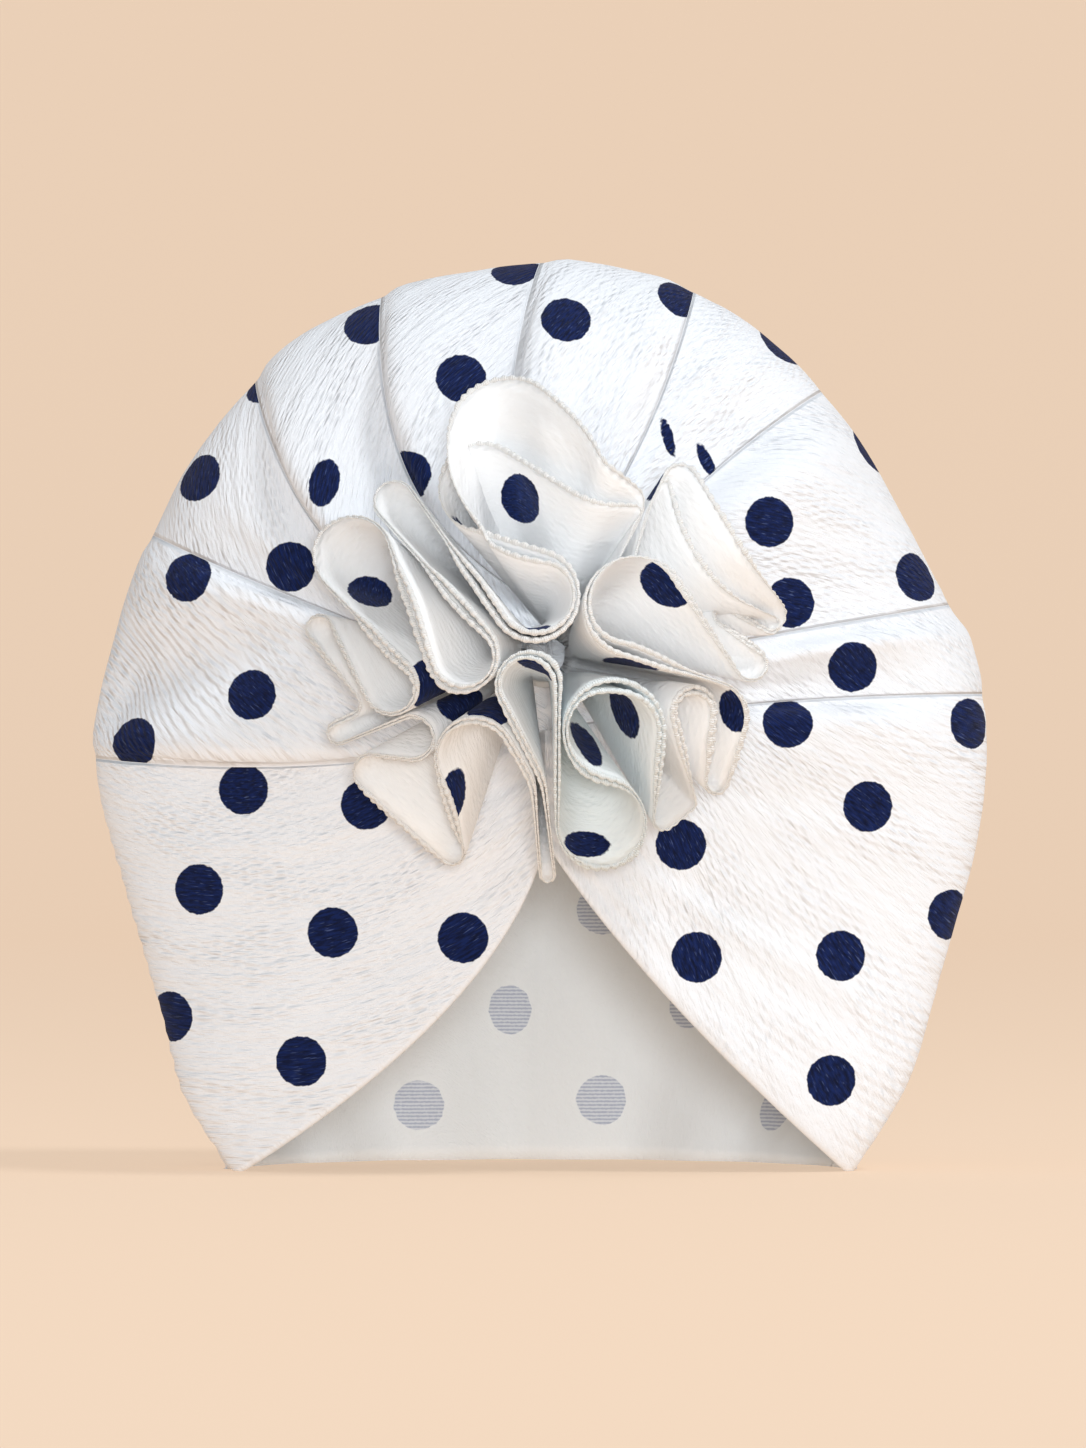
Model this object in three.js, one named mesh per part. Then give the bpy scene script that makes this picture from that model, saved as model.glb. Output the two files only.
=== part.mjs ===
// Baby turban hat: a soft pleated cap with a V-shaped face opening and a gathered flower in front.
// Millimetres, +Z up. The face opening looks along -Y. The functions below work from the cap's widest
// line at Y 0, and the last lines move the origin under the middle of the whole hat, at the hem.
import * as THREE from 'three';

// Cap sizes
const CAP_WIDTH = 178;
const CAP_HEIGHT = 180;
const FRONT_DEPTH = 42;
const TIP_FORWARD = 24;
const HEM_BACK = 42;
const HEM_HALF_WIDTH = 63;
const HEM_START = 0.1;
const HEM_TIP_SHARE = 0.8;
const BACK_BULGE = 8;
const CAP_WALL = 2;
const PLEAT_RISE = 3.2;
const HEM_FOLD_DEPTH = 1.6;
const HEM_FOLD_COUNT = 7;
const SEAM_ACROSS = 1;
const SEAM_LOW = 66;
const SEAM_HIGH = 118;

// Flower sizes
const FLOWER_RADIUS = 46;
const FLOWER_DEPTH = 40;
const FLOWER_UP = 101.3;
const ROOT_RADIUS = 5;
const PLY_WALL = 1;
const PLY_GAP = 0.4;
const SEAT_GAP = 0.3;

// Mesh fineness
const HALF_COLUMNS = [9, 5, 4, 4, 4];
const FRONT_ROWS = 10;
const BACK_ROWS = 8;
const PLY_ROWS = [0, 0.3, 0.6, 0.84, 1];
const TURN_STEP = 0.75;
const LONG_RUN = 0.34;
const NORMAL_STEP = 1e-3;
const RISE_STEP = 0.02;
const TINY = 1e-6;

// The cap's rays run from the front gather out to the outline, and on over the back to the hem.
// at: share of the way round the outline, from the left flap's tip over the top to the right one's.
// across, up: the outline there, in half widths and heights. bowAcross, bowUp: the point that the
// ray bows towards. lean: how far forward the outline stands, as a share of TIP_FORWARD.
const RAY_COLUMNS = ['at', 'across', 'up', 'bowAcross', 'bowUp', 'lean'];
const RAYS = named(RAY_COLUMNS, [
  [0.000, -0.678, 0.000, -0.089, 0.183, 1.00],
  [0.040, -0.783, 0.077, -0.211, 0.232, 0.85],
  [0.080, -0.839, 0.170, -0.311, 0.275, 0.66],
  [0.140, -0.922, 0.308, -0.400, 0.352, 0.42],
  [0.200, -0.994, 0.451, -0.456, 0.423, 0.22],
  [0.240, -0.950, 0.577, -0.489, 0.522, 0.12],
  [0.280, -0.867, 0.698, -0.511, 0.610, 0.05],
  [0.320, -0.772, 0.786, -0.544, 0.615, 0.02],
  [0.360, -0.639, 0.868, -0.544, 0.615, 0.00],
  [0.395, -0.517, 0.923, -0.511, 0.654, 0.00],
  [0.430, -0.356, 0.962, -0.400, 0.720, 0.00],
  [0.465, -0.189, 0.986, -0.278, 0.786, 0.00],
  [0.500,  0.000, 1.000, -0.133, 0.824, 0.00],
  [0.535,  0.183, 0.992,  0.089, 0.819, 0.00],
  [0.570,  0.344, 0.967,  0.267, 0.802, 0.00],
  [0.605,  0.494, 0.923,  0.322, 0.797, 0.00],
  [0.640,  0.633, 0.857,  0.367, 0.775, 0.00],
  [0.680,  0.789, 0.736,  0.444, 0.703, 0.02],
  [0.720,  0.917, 0.621,  0.511, 0.593, 0.05],
  [0.760,  0.967, 0.574,  0.522, 0.555, 0.12],
  [0.800,  0.989, 0.522,  0.511, 0.522, 0.22],
  [0.860,  0.978, 0.374,  0.444, 0.407, 0.42],
  [0.920,  0.889, 0.214,  0.367, 0.308, 0.66],
  [0.960,  0.817, 0.099,  0.311, 0.247, 0.85],
  [1.000,  0.694, 0.000,  0.244, 0.197, 1.00],
]);

// at: the ray that the crease follows. over: +1 where the cloth further round lies on top, else -1.
// rise: share of PLEAT_RISE. reach: how far round the raised cloth eases down again.
// starts: share of the ray, from the gather, where the crease opens. back: how far over the back it
// runs, as a share of the ray's back half.
const PLEAT_COLUMNS = ['at', 'over', 'rise', 'reach', 'starts', 'back'];
const PLEATS = named(PLEAT_COLUMNS, [
  [0.200,  1, 1.00, 0.070, 0.30, 0.45],
  [0.280, -1, 0.90, 0.065, 0.30, 0.40],
  [0.360,  1, 1.10, 0.060, 0.28, 0.35],
  [0.430,  1, 1.00, 0.055, 0.30, 0.40],
  [0.500,  1, 1.00, 0.055, 0.28, 0.45],
  [0.570, -1, 0.60, 0.045, 0.30, 0.25],
  [0.640,  1, 1.10, 0.070, 0.30, 0.45],
  [0.720,  1, 0.50, 0.050, 0.40, 0.30],
  [0.800,  1, 0.90, 0.080, 0.30, 0.40],
]);
// LIP: how wide a crease's step is. DIP: how far the cloth under it sinks, as a share of the rise, and
// DIP_REACH over what share of the reach. PLEAT_OPENS_OVER: share of the ray over which a crease opens.
// RISE_AT_OUTLINE: how much of the rise is left where the ray crosses the outline, and FADE_STARTS where
// it begins to fade.
const LIP = 0.004;
const DIP = 0.45;
const DIP_REACH = 0.7;
const PLEAT_OPENS_OVER = 0.3;
const RISE_AT_OUTLINE = 0.45;
const FADE_STARTS = 0.75;

// The flower's free edge winds round these turns, counter-clockwise as seen from the front.
// across, up: the turn's centre. bend: its radius, all three in flower radii. way: +1 where the edge
// turns round a petal's tip, -1 where it turns back near the middle. lift: how far it stands in front
// of the flower's dome, in flower depths. standOff: how far the back ply hangs away from the front
// ply there, in flower radii.
const TURN_COLUMNS = ['across', 'up', 'bend', 'way', 'lift', 'standOff'];
const TURNS = named(TURN_COLUMNS, [
  [ 0.340,  0.400, 0.030, -1, -0.16, 0.00],
  [ 0.375,  0.600, 0.030,  1,  0.02, 0.02],
  [ 0.285,  0.935, 0.300, -1,  0.10, 0.24],
  [-0.256,  0.700, 0.193,  1,  0.00, 0.065],
  [-0.042,  0.247, 0.172, -1,  0.05, 0.02],
  [-0.635,  0.650, 0.085,  1, -0.06, 0.01],
  [-0.343, -0.004, 0.138, -1,  0.04, 0.01],
  [-0.810,  0.420, 0.165,  1,  0.02, 0.03],
  [-0.645, -0.135, 0.110, -1,  0.02, 0.02],
  [-0.950,  0.115, 0.055,  1, -0.05, 0.01],
  [-0.820, -0.205, 0.046, -1, -0.12, 0.00],
  [-0.871, -0.327, 0.044,  1,  0.00, 0.01],
  [-0.555, -0.345, 0.090, -1, -0.06, 0.01],
  [-0.730, -0.490, 0.075,  1,  0.00, 0.02],
  [-0.390, -0.830, 0.050,  1,  0.02, 0.02],
  [-0.295, -0.430, 0.160, -1,  0.02, 0.02],
  [-0.320, -0.620, 0.275, -1,  0.00, 0.09],
  [ 0.010, -0.925, 0.030,  1, -0.02, 0.02],
  [-0.320, -0.620, 0.322,  1,  0.00, 0.01],
  [-0.072, -0.125, 0.125, -1,  0.04, 0.01],
  [ 0.235, -0.705, 0.185,  1,  0.04, 0.03],
  [ 0.285, -0.320, 0.200, -1,  0.04, 0.02],
  [ 0.500, -0.690, 0.045,  1, -0.04, 0.01],
  [ 0.600, -0.620, 0.035,  1, -0.04, 0.01],
  [ 0.620, -0.230, 0.085, -1, -0.02, 0.01],
  [ 0.722, -0.535, 0.046,  1,  0.00, 0.02],
  [ 0.700, -0.256, 0.145,  1,  0.04, 0.04],
  [ 0.375,  0.210, 0.200, -1,  0.08, 0.02],
  [ 0.867, -0.038, 0.067,  1, -0.04, 0.01],
  [ 0.740,  0.170, 0.035, -1, -0.22, 0.00],
  [ 0.955,  0.135, 0.035,  1, -0.04, 0.00],
  [ 1.140,  0.745, 0.600, -1,  0.00, 0.24],
  [ 0.497,  0.705, 0.035,  1,  0.00, 0.10],
]);
const DOME_REACH = 1.13;
const DOME_LEAST = 0.99;
const PETAL_SPREAD = 0.35;
const PETAL_ARCH = 0.1;
const PETAL_FOLLOW = 0.6;
const ROOT_EVEN = 0.45;
const CROWD = 0.37;
const FOLDED_BACK = 1.4;
const CROWDED_BEHIND = 0.045;
const OPEN_BEHIND = 0.08;

const CLOTH = new THREE.MeshStandardMaterial({ color: 0xf4f2f1, roughness: 0.92, metalness: 0 });
const RUFFLE_CLOTH = new THREE.MeshStandardMaterial({ color: 0xf1efe9, roughness: 0.9, metalness: 0 });

function named(columns, rows) {
  return rows.map((row) => Object.fromEntries(columns.map((column, k) => [column, row[k]])));
}

// A smooth curve through one column of a table, by its rows' places.
function smooth(table, column, at) {
  const last = table.length - 2;
  let k = 0;
  while (k < last && at > table[k + 1].at) k += 1;
  const slope = (i) => {
    const a = table[Math.max(i - 1, 0)];
    const b = table[Math.min(i + 1, table.length - 1)];
    return (b[column] - a[column]) / (b.at - a.at);
  };
  const span = table[k + 1].at - table[k].at;
  const s = (at - table[k].at) / span;
  const rise = s * s * (3 - 2 * s);
  return table[k][column] * (1 - rise) + table[k + 1][column] * rise
    + span * s * (1 - s) * ((1 - s) * slope(k) - s * slope(k + 1));
}

const ease = (x) => THREE.MathUtils.smoothstep(x, 0, 1);

// The hem's place on the ground, round the back from tip to tip.
function hemPoint(at) {
  const sweep = HEM_START + (Math.PI - 2 * HEM_START) * at;
  const folds = Math.sin(HEM_FOLD_COUNT * 2 * Math.PI * at) * Math.sin(Math.PI * at);
  const reach = HEM_BACK + HEM_TIP_SHARE * TIP_FORWARD;
  const y = HEM_BACK - reach + reach * Math.sin(sweep) + HEM_FOLD_DEPTH * folds;
  return new THREE.Vector3(-HEM_HALF_WIDTH * Math.cos(sweep), y, 0);
}

// The smooth cap without its pleats: way 0 at the gather, 0.5 on the outline, 1 at the hem.
function capPoint(at, way) {
  const half = CAP_WIDTH / 2;
  const outline = new THREE.Vector3(
    smooth(RAYS, 'across', at) * half,
    -smooth(RAYS, 'lean', at) * TIP_FORWARD,
    smooth(RAYS, 'up', at) * CAP_HEIGHT,
  );
  if (way <= 0.5) {
    const turn = way * Math.PI;
    const s = Math.sin(turn);
    const seam = SEAM_LOW + (SEAM_HIGH - SEAM_LOW) * 2 * Math.min(at, 1 - at);
    const bowX = smooth(RAYS, 'bowAcross', at) * half;
    const bowZ = smooth(RAYS, 'bowUp', at) * CAP_HEIGHT;
    return new THREE.Vector3(
      (1 - s) ** 2 * SEAM_ACROSS + 2 * s * (1 - s) * bowX + s * s * outline.x,
      outline.y - (FRONT_DEPTH + outline.y) * Math.cos(turn),
      (1 - s) ** 2 * seam + 2 * s * (1 - s) * bowZ + s * s * outline.z,
    );
  }
  const turn = (way - 0.5) * Math.PI;
  const hem = hemPoint(at);
  const drop = 1 - Math.cos(turn);
  const bulge = BACK_BULGE * Math.sin(2 * turn) * Math.sin(Math.PI * at);
  return new THREE.Vector3(
    outline.x + (hem.x - outline.x) * drop,
    outline.y + (hem.y - outline.y) * Math.sin(turn) + bulge,
    outline.z * (1 - drop),
  );
}

// The direction out of the cap. On the gather it is straight forward, and on the hem it is level.
function capNormal(at, way) {
  if (way < TINY) return new THREE.Vector3(0, -1, 0);
  const step = NORMAL_STEP;
  const u = [Math.max(at - step, 0), Math.min(at + step, 1)];
  const t = [Math.max(way - step, 0), Math.min(way + step, 1)];
  const round = capPoint(u[1], way).sub(capPoint(u[0], way));
  const along = capPoint(at, t[1]).sub(capPoint(at, t[0]));
  const normal = round.cross(along);
  const onFlapEdge = at < TINY || at > 1 - TINY;
  const onHem = way > 1 - TINY || (onFlapEdge && way > 0.5 - TINY);
  if (onHem) normal.z = 0;
  return normal.normalize();
}

// How far the pleats lift the cloth.
function pleatLift(at, way) {
  let lift = 0;
  const out = Math.sin(Math.min(way, 0.5) * Math.PI);
  const fade = 1 - (1 - RISE_AT_OUTLINE) * ease((out - FADE_STARTS) / (1 - FADE_STARTS));
  for (const pleat of PLEATS) {
    const x = (at - pleat.at) * pleat.over;
    const open = ease((out - pleat.starts) / PLEAT_OPENS_OVER);
    const closed = 1 - ease((way - 0.5) / (0.5 * pleat.back));
    const rise = PLEAT_RISE * pleat.rise * open * closed * fade;
    if (x > 0) lift += rise * (ease(x / LIP) * (1 + DIP) - DIP) * (1 - ease(x / pleat.reach));
    else lift -= DIP * rise * (1 - ease(-x / (DIP_REACH * pleat.reach)));
  }
  return lift;
}

// Places of the mesh's columns: both sides of each crease, and evenly between them.
function capColumns() {
  const stops = [0];
  const half = PLEATS.filter((pleat) => pleat.at <= 0.5);
  half.forEach((pleat, k) => {
    const from = stops[stops.length - 1];
    const to = pleat.at - LIP;
    for (let i = 1; i <= HALF_COLUMNS[k]; i += 1) stops.push(from + (to - from) * i / HALF_COLUMNS[k]);
    if (pleat.at < 0.5) stops.push(pleat.at + LIP);
  });
  const mirrored = stops.map((at) => 1 - at).reverse();
  return [...stops, 0.5, ...mirrored];
}

function shellMesh(name, material, positions, triangles) {
  const geometry = new THREE.BufferGeometry();
  geometry.setAttribute('position', new THREE.Float32BufferAttribute(positions, 3));
  geometry.setIndex(triangles);
  geometry.computeVertexNormals();
  const mesh = new THREE.Mesh(geometry, material);
  mesh.name = name;
  return mesh;
}

function capBody() {
  const columns = capColumns();
  const rows = FRONT_ROWS + BACK_ROWS;
  const ways = Array.from({ length: rows + 1 }, (_, k) => (
    k <= FRONT_ROWS ? 0.5 * k / FRONT_ROWS : 0.5 + 0.5 * (k - FRONT_ROWS) / BACK_ROWS));
  const positions = [];
  const outer = [];
  const inner = [];
  columns.forEach((at, j) => {
    ways.forEach((way, k) => {
      const mirror = columns.length - 1 - j;
      if (k === 0 && mirror < j) {
        outer.push(outer[mirror * (rows + 1)]);
        inner.push(inner[mirror * (rows + 1)]);
        return;
      }
      const base = capPoint(at, way);
      const normal = capNormal(at, way);
      const lift = way > 1 - TINY ? 0 : pleatLift(at, way);
      outer.push(positions.length / 3);
      positions.push(...base.clone().addScaledVector(normal, lift).toArray());
      inner.push(positions.length / 3);
      positions.push(...base.clone().addScaledVector(normal, Math.min(lift, 0) - CAP_WALL).toArray());
    });
  });
  const id = (side, j, k) => side[j * (rows + 1) + k];
  const triangles = [];
  const face = (a, b, c) => {
    if (a !== b && b !== c && c !== a) triangles.push(a, b, c);
  };
  const quad = (a, b, c, d) => {
    face(a, b, c);
    face(a, c, d);
  };
  for (let j = 0; j < columns.length - 1; j += 1) {
    for (let k = 0; k < rows; k += 1) {
      quad(id(outer, j, k), id(outer, j + 1, k), id(outer, j + 1, k + 1), id(outer, j, k + 1));
      quad(id(inner, j, k), id(inner, j, k + 1), id(inner, j + 1, k + 1), id(inner, j + 1, k));
    }
    quad(id(outer, j, rows), id(outer, j + 1, rows), id(inner, j + 1, rows), id(inner, j, rows));
  }
  const last = columns.length - 1;
  for (let k = 0; k < rows; k += 1) {
    quad(id(outer, 0, k), id(outer, 0, k + 1), id(inner, 0, k + 1), id(inner, 0, k));
    quad(id(outer, last, k), id(inner, last, k), id(inner, last, k + 1), id(outer, last, k + 1));
  }
  return shellMesh('cap_body', CLOTH, positions, triangles);
}

// The heading of the straight run between two turns, which touches both.
function heading(a, b) {
  const dx = b.across - a.across;
  const dz = b.up - a.up;
  const cross = (a.way * a.bend - b.way * b.bend) / Math.hypot(dx, dz);
  return Math.atan2(dz, dx) + Math.asin(THREE.MathUtils.clamp(cross, -1, 1));
}

// The flower's free edge as points in its own plane, in flower radii.
function edgePath() {
  const count = TURNS.length;
  const headings = TURNS.map((turn, k) => heading(turn, TURNS[(k + 1) % count]));
  const points = [];
  TURNS.forEach((turn, k) => {
    const start = headings[(k + count - 1) % count];
    const full = 2 * Math.PI;
    const angle = (((headings[k] - start) * turn.way) % full + full) % full;
    const steps = Math.max(2, Math.round(angle / TURN_STEP));
    for (let i = 0; i <= steps; i += 1) {
      const h = start + turn.way * angle * i / steps;
      const x = turn.across + turn.way * turn.bend * Math.sin(h);
      const z = turn.up - turn.way * turn.bend * Math.cos(h);
      points.push({ x, z, place: k + 0.5 * (i / steps - 0.5) });
    }
  });
  return splitLongRuns(points);
}

function splitLongRuns(points) {
  const fine = [];
  points.forEach((point, k) => {
    const next = points[(k + 1) % points.length];
    fine.push(point);
    const run = Math.hypot(next.x - point.x, next.z - point.z);
    const pieces = Math.ceil(run / LONG_RUN);
    const nextPlace = k === points.length - 1 ? next.place + TURNS.length : next.place;
    for (let i = 1; i < pieces; i += 1) {
      const s = i / pieces;
      fine.push({
        x: point.x + (next.x - point.x) * s,
        z: point.z + (next.z - point.z) * s,
        place: point.place + (nextPlace - point.place) * s,
      });
    }
  });
  return fine;
}

// A turn's value, eased between neighbouring turns.
function turnValue(column, place) {
  const count = TURNS.length;
  const k = Math.floor(place);
  const s = ease(place - k);
  const a = TURNS[(k + count) % count][column];
  const b = TURNS[(k + 1 + count) % count][column];
  return a + (b - a) * s;
}

// Where round the root each edge point is gathered: it follows the point's own direction from the
// flower's middle, kept from running backwards, and is part evened out along the edge.
function rootAngles(points) {
  const count = points.length;
  const full = 2 * Math.PI;
  const angles = points.map((p) => Math.atan2(p.z, p.x));
  for (let k = 1; k < count; k += 1) {
    angles[k] += full * Math.round((angles[k - 1] - angles[k]) / full);
  }
  const ordered = angles.map((_, k) => {
    const before = [...angles.slice(0, k + 1), ...angles.slice(k + 1).map((a) => a - full)];
    const after = [...angles.slice(k), ...angles.slice(0, k).map((a) => a + full)];
    return (Math.max(...before) + Math.min(...after)) / 2;
  });
  const lengths = [0];
  for (let k = 1; k < count; k += 1) {
    const run = Math.hypot(points[k].x - points[k - 1].x, points[k].z - points[k - 1].z);
    lengths.push(lengths[k - 1] + run);
  }
  const close = Math.hypot(points[0].x - points[count - 1].x, points[0].z - points[count - 1].z);
  const total = lengths[count - 1] + close;
  const even = lengths.map((length) => full * length / total);
  const shift = ordered.reduce((sum, a, k) => sum + a - even[k], 0) / count;
  return ordered.map((a, k) => (1 - ROOT_EVEN) * a + ROOT_EVEN * (even[k] + shift));
}

// One level of the strip's middle surface, from the root at rise 0 to the free edge at rise 1.
// Its third coordinate is the distance in front of the flower's seat.
function stripLevel(points, angles, rise) {
  return points.map((p, k) => {
    const root = new THREE.Vector3(Math.cos(angles[k]), Math.sin(angles[k]), 0);
    root.multiplyScalar(ROOT_RADIUS);
    const radius = Math.hypot(p.x, p.z);
    const dome = 1 - Math.min(radius / DOME_REACH, DOME_LEAST) ** 2;
    const height = FLOWER_DEPTH * (dome + turnValue('lift', p.place));
    const edge = new THREE.Vector3(p.x * FLOWER_RADIUS, p.z * FLOWER_RADIUS, height);
    const arch = root.clone().lerp(edge, PETAL_SPREAD);
    arch.z = PETAL_FOLLOW * height + PETAL_ARCH * FLOWER_DEPTH;
    return new THREE.QuadraticBezierCurve3(root, arch, edge).getPoint(rise);
  });
}

// Half of the free room beside each point of a level, where the strip folds back past itself.
function roomAt(level) {
  const count = level.length;
  const lengths = [0];
  for (let k = 1; k < count; k += 1) lengths.push(lengths[k - 1] + level[k].distanceTo(level[k - 1]));
  const total = lengths[count - 1] + level[0].distanceTo(level[count - 1]);
  const room = level.map((point, k) => {
    let least = 2 * ROOT_RADIUS;
    level.forEach((other, i) => {
      const along = Math.abs(lengths[k] - lengths[i]);
      const apart = Math.hypot(point.x - other.x, point.y - other.y);
      if (Math.min(along, total - along) > FOLDED_BACK * apart) least = Math.min(least, apart);
    });
    return least;
  });
  return room.map((_, k) => Math.min(room[(k + count - 1) % count], room[k], room[(k + 1) % count]));
}

// The strip's levels with their outward normals and the room beside them.
function stripSurface() {
  const points = edgePath();
  const angles = rootAngles(points);
  const levels = PLY_ROWS.map((rise) => stripLevel(points, angles, rise));
  const steps = PLY_ROWS.map((rise) => [
    stripLevel(points, angles, Math.max(rise - RISE_STEP, 0)),
    stripLevel(points, angles, Math.min(rise + RISE_STEP, 1)),
  ]);
  const count = points.length;
  const normals = levels.map((level, r) => level.map((_, k) => {
    const along = level[(k + 1) % count].clone().sub(level[(k + count - 1) % count]);
    const up = steps[r][1][k].clone().sub(steps[r][0][k]);
    const normal = along.cross(up);
    if (r === 0) normal.z = 0;
    return normal.normalize();
  }));
  const rooms = levels.map(roomAt);
  return { points, levels, normals, rooms };
}

// How far the back ply hangs away from the front ply. Only the top petals have open air behind them.
function slackAt(strip, r, k, room) {
  const turn = turnValue('standOff', strip.points[k].place);
  const slack = turn * FLOWER_RADIUS * PLY_ROWS[r] ** 2;
  const crowded = Math.min(slack, Math.max(room - PLY_GAP / 2, 0));
  return crowded + (slack - crowded) * ease((turn - CROWDED_BEHIND) / (OPEN_BEHIND - CROWDED_BEHIND));
}

// One ply of the strip. side +1 is the back ply, under the petals, and -1 the front ply.
function rufflePly(name, strip, side) {
  const count = strip.points.length;
  const positions = [];
  const seat = -(FRONT_DEPTH + SEAT_GAP);
  const add = (point, normal, distance) => {
    const p = point.clone().addScaledVector(normal, distance);
    positions.push(p.x + SEAM_ACROSS, seat - p.z, p.y + FLOWER_UP);
  };
  strip.levels.forEach((level, r) => {
    level.forEach((point, k) => {
      const room = CROWD * strip.rooms[r][k];
      const squeeze = Math.min(1, room / (PLY_GAP / 2 + PLY_WALL));
      const wall = PLY_WALL * squeeze;
      const near = PLY_GAP / 2 * squeeze + (side > 0 ? slackAt(strip, r, k, room - wall) : 0);
      add(point, strip.normals[r][k], side * near);
      add(point, strip.normals[r][k], side * (near + wall));
    });
  });
  const id = (face, r, k) => 2 * (r * count + (k % count)) + face;
  const triangles = [];
  const quad = (a, b, c, d) => triangles.push(a, b, c, a, c, d);
  const last = PLY_ROWS.length - 1;
  for (let k = 0; k < count; k += 1) {
    for (let r = 0; r < last; r += 1) {
      quad(id(1, r, k), id(1, r, k + 1), id(1, r + 1, k + 1), id(1, r + 1, k));
      quad(id(0, r, k), id(0, r + 1, k), id(0, r + 1, k + 1), id(0, r, k + 1));
    }
    quad(id(0, 0, k), id(0, 0, k + 1), id(1, 0, k + 1), id(1, 0, k));
    quad(id(0, last, k), id(1, last, k), id(1, last, k + 1), id(0, last, k + 1));
  }
  if (side < 0) {
    for (let k = 0; k < triangles.length; k += 3) {
      [triangles[k], triangles[k + 1]] = [triangles[k + 1], triangles[k]];
    }
  }
  return shellMesh(name, RUFFLE_CLOTH, positions, triangles);
}

const strip = stripSurface();
const group = new THREE.Group();
group.add(capBody());
group.add(rufflePly('ruffle_front_ply', strip, -1));
group.add(rufflePly('ruffle_back_ply', strip, 1));
const box = new THREE.Box3().setFromObject(group);
const middle = box.getCenter(new THREE.Vector3());
group.position.set(-middle.x, -middle.y, 0);

export default group;
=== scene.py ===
"""Baby turban hat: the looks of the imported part, in Blender.

The cap and the two plies of the flower are finer meshes of the same forms as their CAD nodes, worked
out from the same sizes and tables, with the cloth's wrinkles, dots, knit and rolled edges added.
Sizes are in millimetres until a mesh is made, and the cap's widest line is at Y 0, as in the part.
"""
import itertools
import math

import bpy
import numpy as np
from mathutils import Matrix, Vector


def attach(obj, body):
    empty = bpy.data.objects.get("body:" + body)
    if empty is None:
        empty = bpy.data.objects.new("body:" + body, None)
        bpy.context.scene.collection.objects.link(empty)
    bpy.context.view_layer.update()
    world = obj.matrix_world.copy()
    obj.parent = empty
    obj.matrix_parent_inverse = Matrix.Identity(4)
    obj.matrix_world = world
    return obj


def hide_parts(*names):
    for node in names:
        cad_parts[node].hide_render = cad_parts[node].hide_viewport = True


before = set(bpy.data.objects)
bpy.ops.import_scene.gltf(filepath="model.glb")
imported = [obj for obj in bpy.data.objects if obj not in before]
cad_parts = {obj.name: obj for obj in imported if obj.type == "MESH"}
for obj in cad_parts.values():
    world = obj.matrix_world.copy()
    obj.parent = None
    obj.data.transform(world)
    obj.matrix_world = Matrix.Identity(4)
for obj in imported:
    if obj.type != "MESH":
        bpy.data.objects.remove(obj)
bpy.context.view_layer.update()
MM = 0.001

# Cap sizes, as in the part
CAP_WIDTH = 178
CAP_HEIGHT = 180
FRONT_DEPTH = 42
TIP_FORWARD = 24
HEM_BACK = 42
HEM_HALF_WIDTH = 63
HEM_START = 0.1
HEM_TIP_SHARE = 0.8
BACK_BULGE = 8
CAP_WALL = 2
PLEAT_RISE = 3.2
HEM_FOLD_DEPTH = 1.6
HEM_FOLD_COUNT = 7
SEAM_ACROSS = 1
SEAM_LOW = 66
SEAM_HIGH = 118

# Flower sizes, as in the part, apart from how the back ply leans
FLOWER_RADIUS = 46
FLOWER_DEPTH = 40
FLOWER_UP = 101.3
ROOT_RADIUS = 5
PLY_WALL = 1
PLY_GAP = 0.4
SEAT_GAP = 0.3
DOME_REACH = 1.13
DOME_LEAST = 0.99
PETAL_SPREAD = 0.35
PETAL_ARCH = 0.1
PETAL_FOLLOW = 0.6
ROOT_EVEN = 0.45
CROWD = 0.37
FOLDED_BACK = 1.4
ROOM_EVENED = 4
LEAN_ROUNDNESS = 0.8

# Where the part's own frame lies from the one that the formulas use
ORIGIN_SHIFT = np.array([0.283, 19.249, 0.0])

# Mesh fineness
CAP_HALF_COLUMNS = 150
CAP_FRONT_ROWS = 72
CAP_BACK_ROWS = 76
RIM_POINTS = 4
EDGE_STEP = 1.05
TURN_LEAST = 6
PLY_LEVELS = 26
# At the creases the cap's columns are closer together, over a spread that is a share of the way round,
# and one of them lies a seam's width to each side of the crease
CREASE_DENSITY = 5.0
CREASE_SPREAD = 0.0045
CREASE_SEAM = 8e-5
# How far from a crease the knit and the wrinkles come in, as shares of the way round, and how far from
# the flaps' sides the knit does, in millimetres
KNIT_CLEAR = 1.2e-3
WRINKLE_CLEAR = 8e-3
SIDE_CLEAR = 2.5
# How close to an end of a share counts as on it
ON_END = 1e-6

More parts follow.
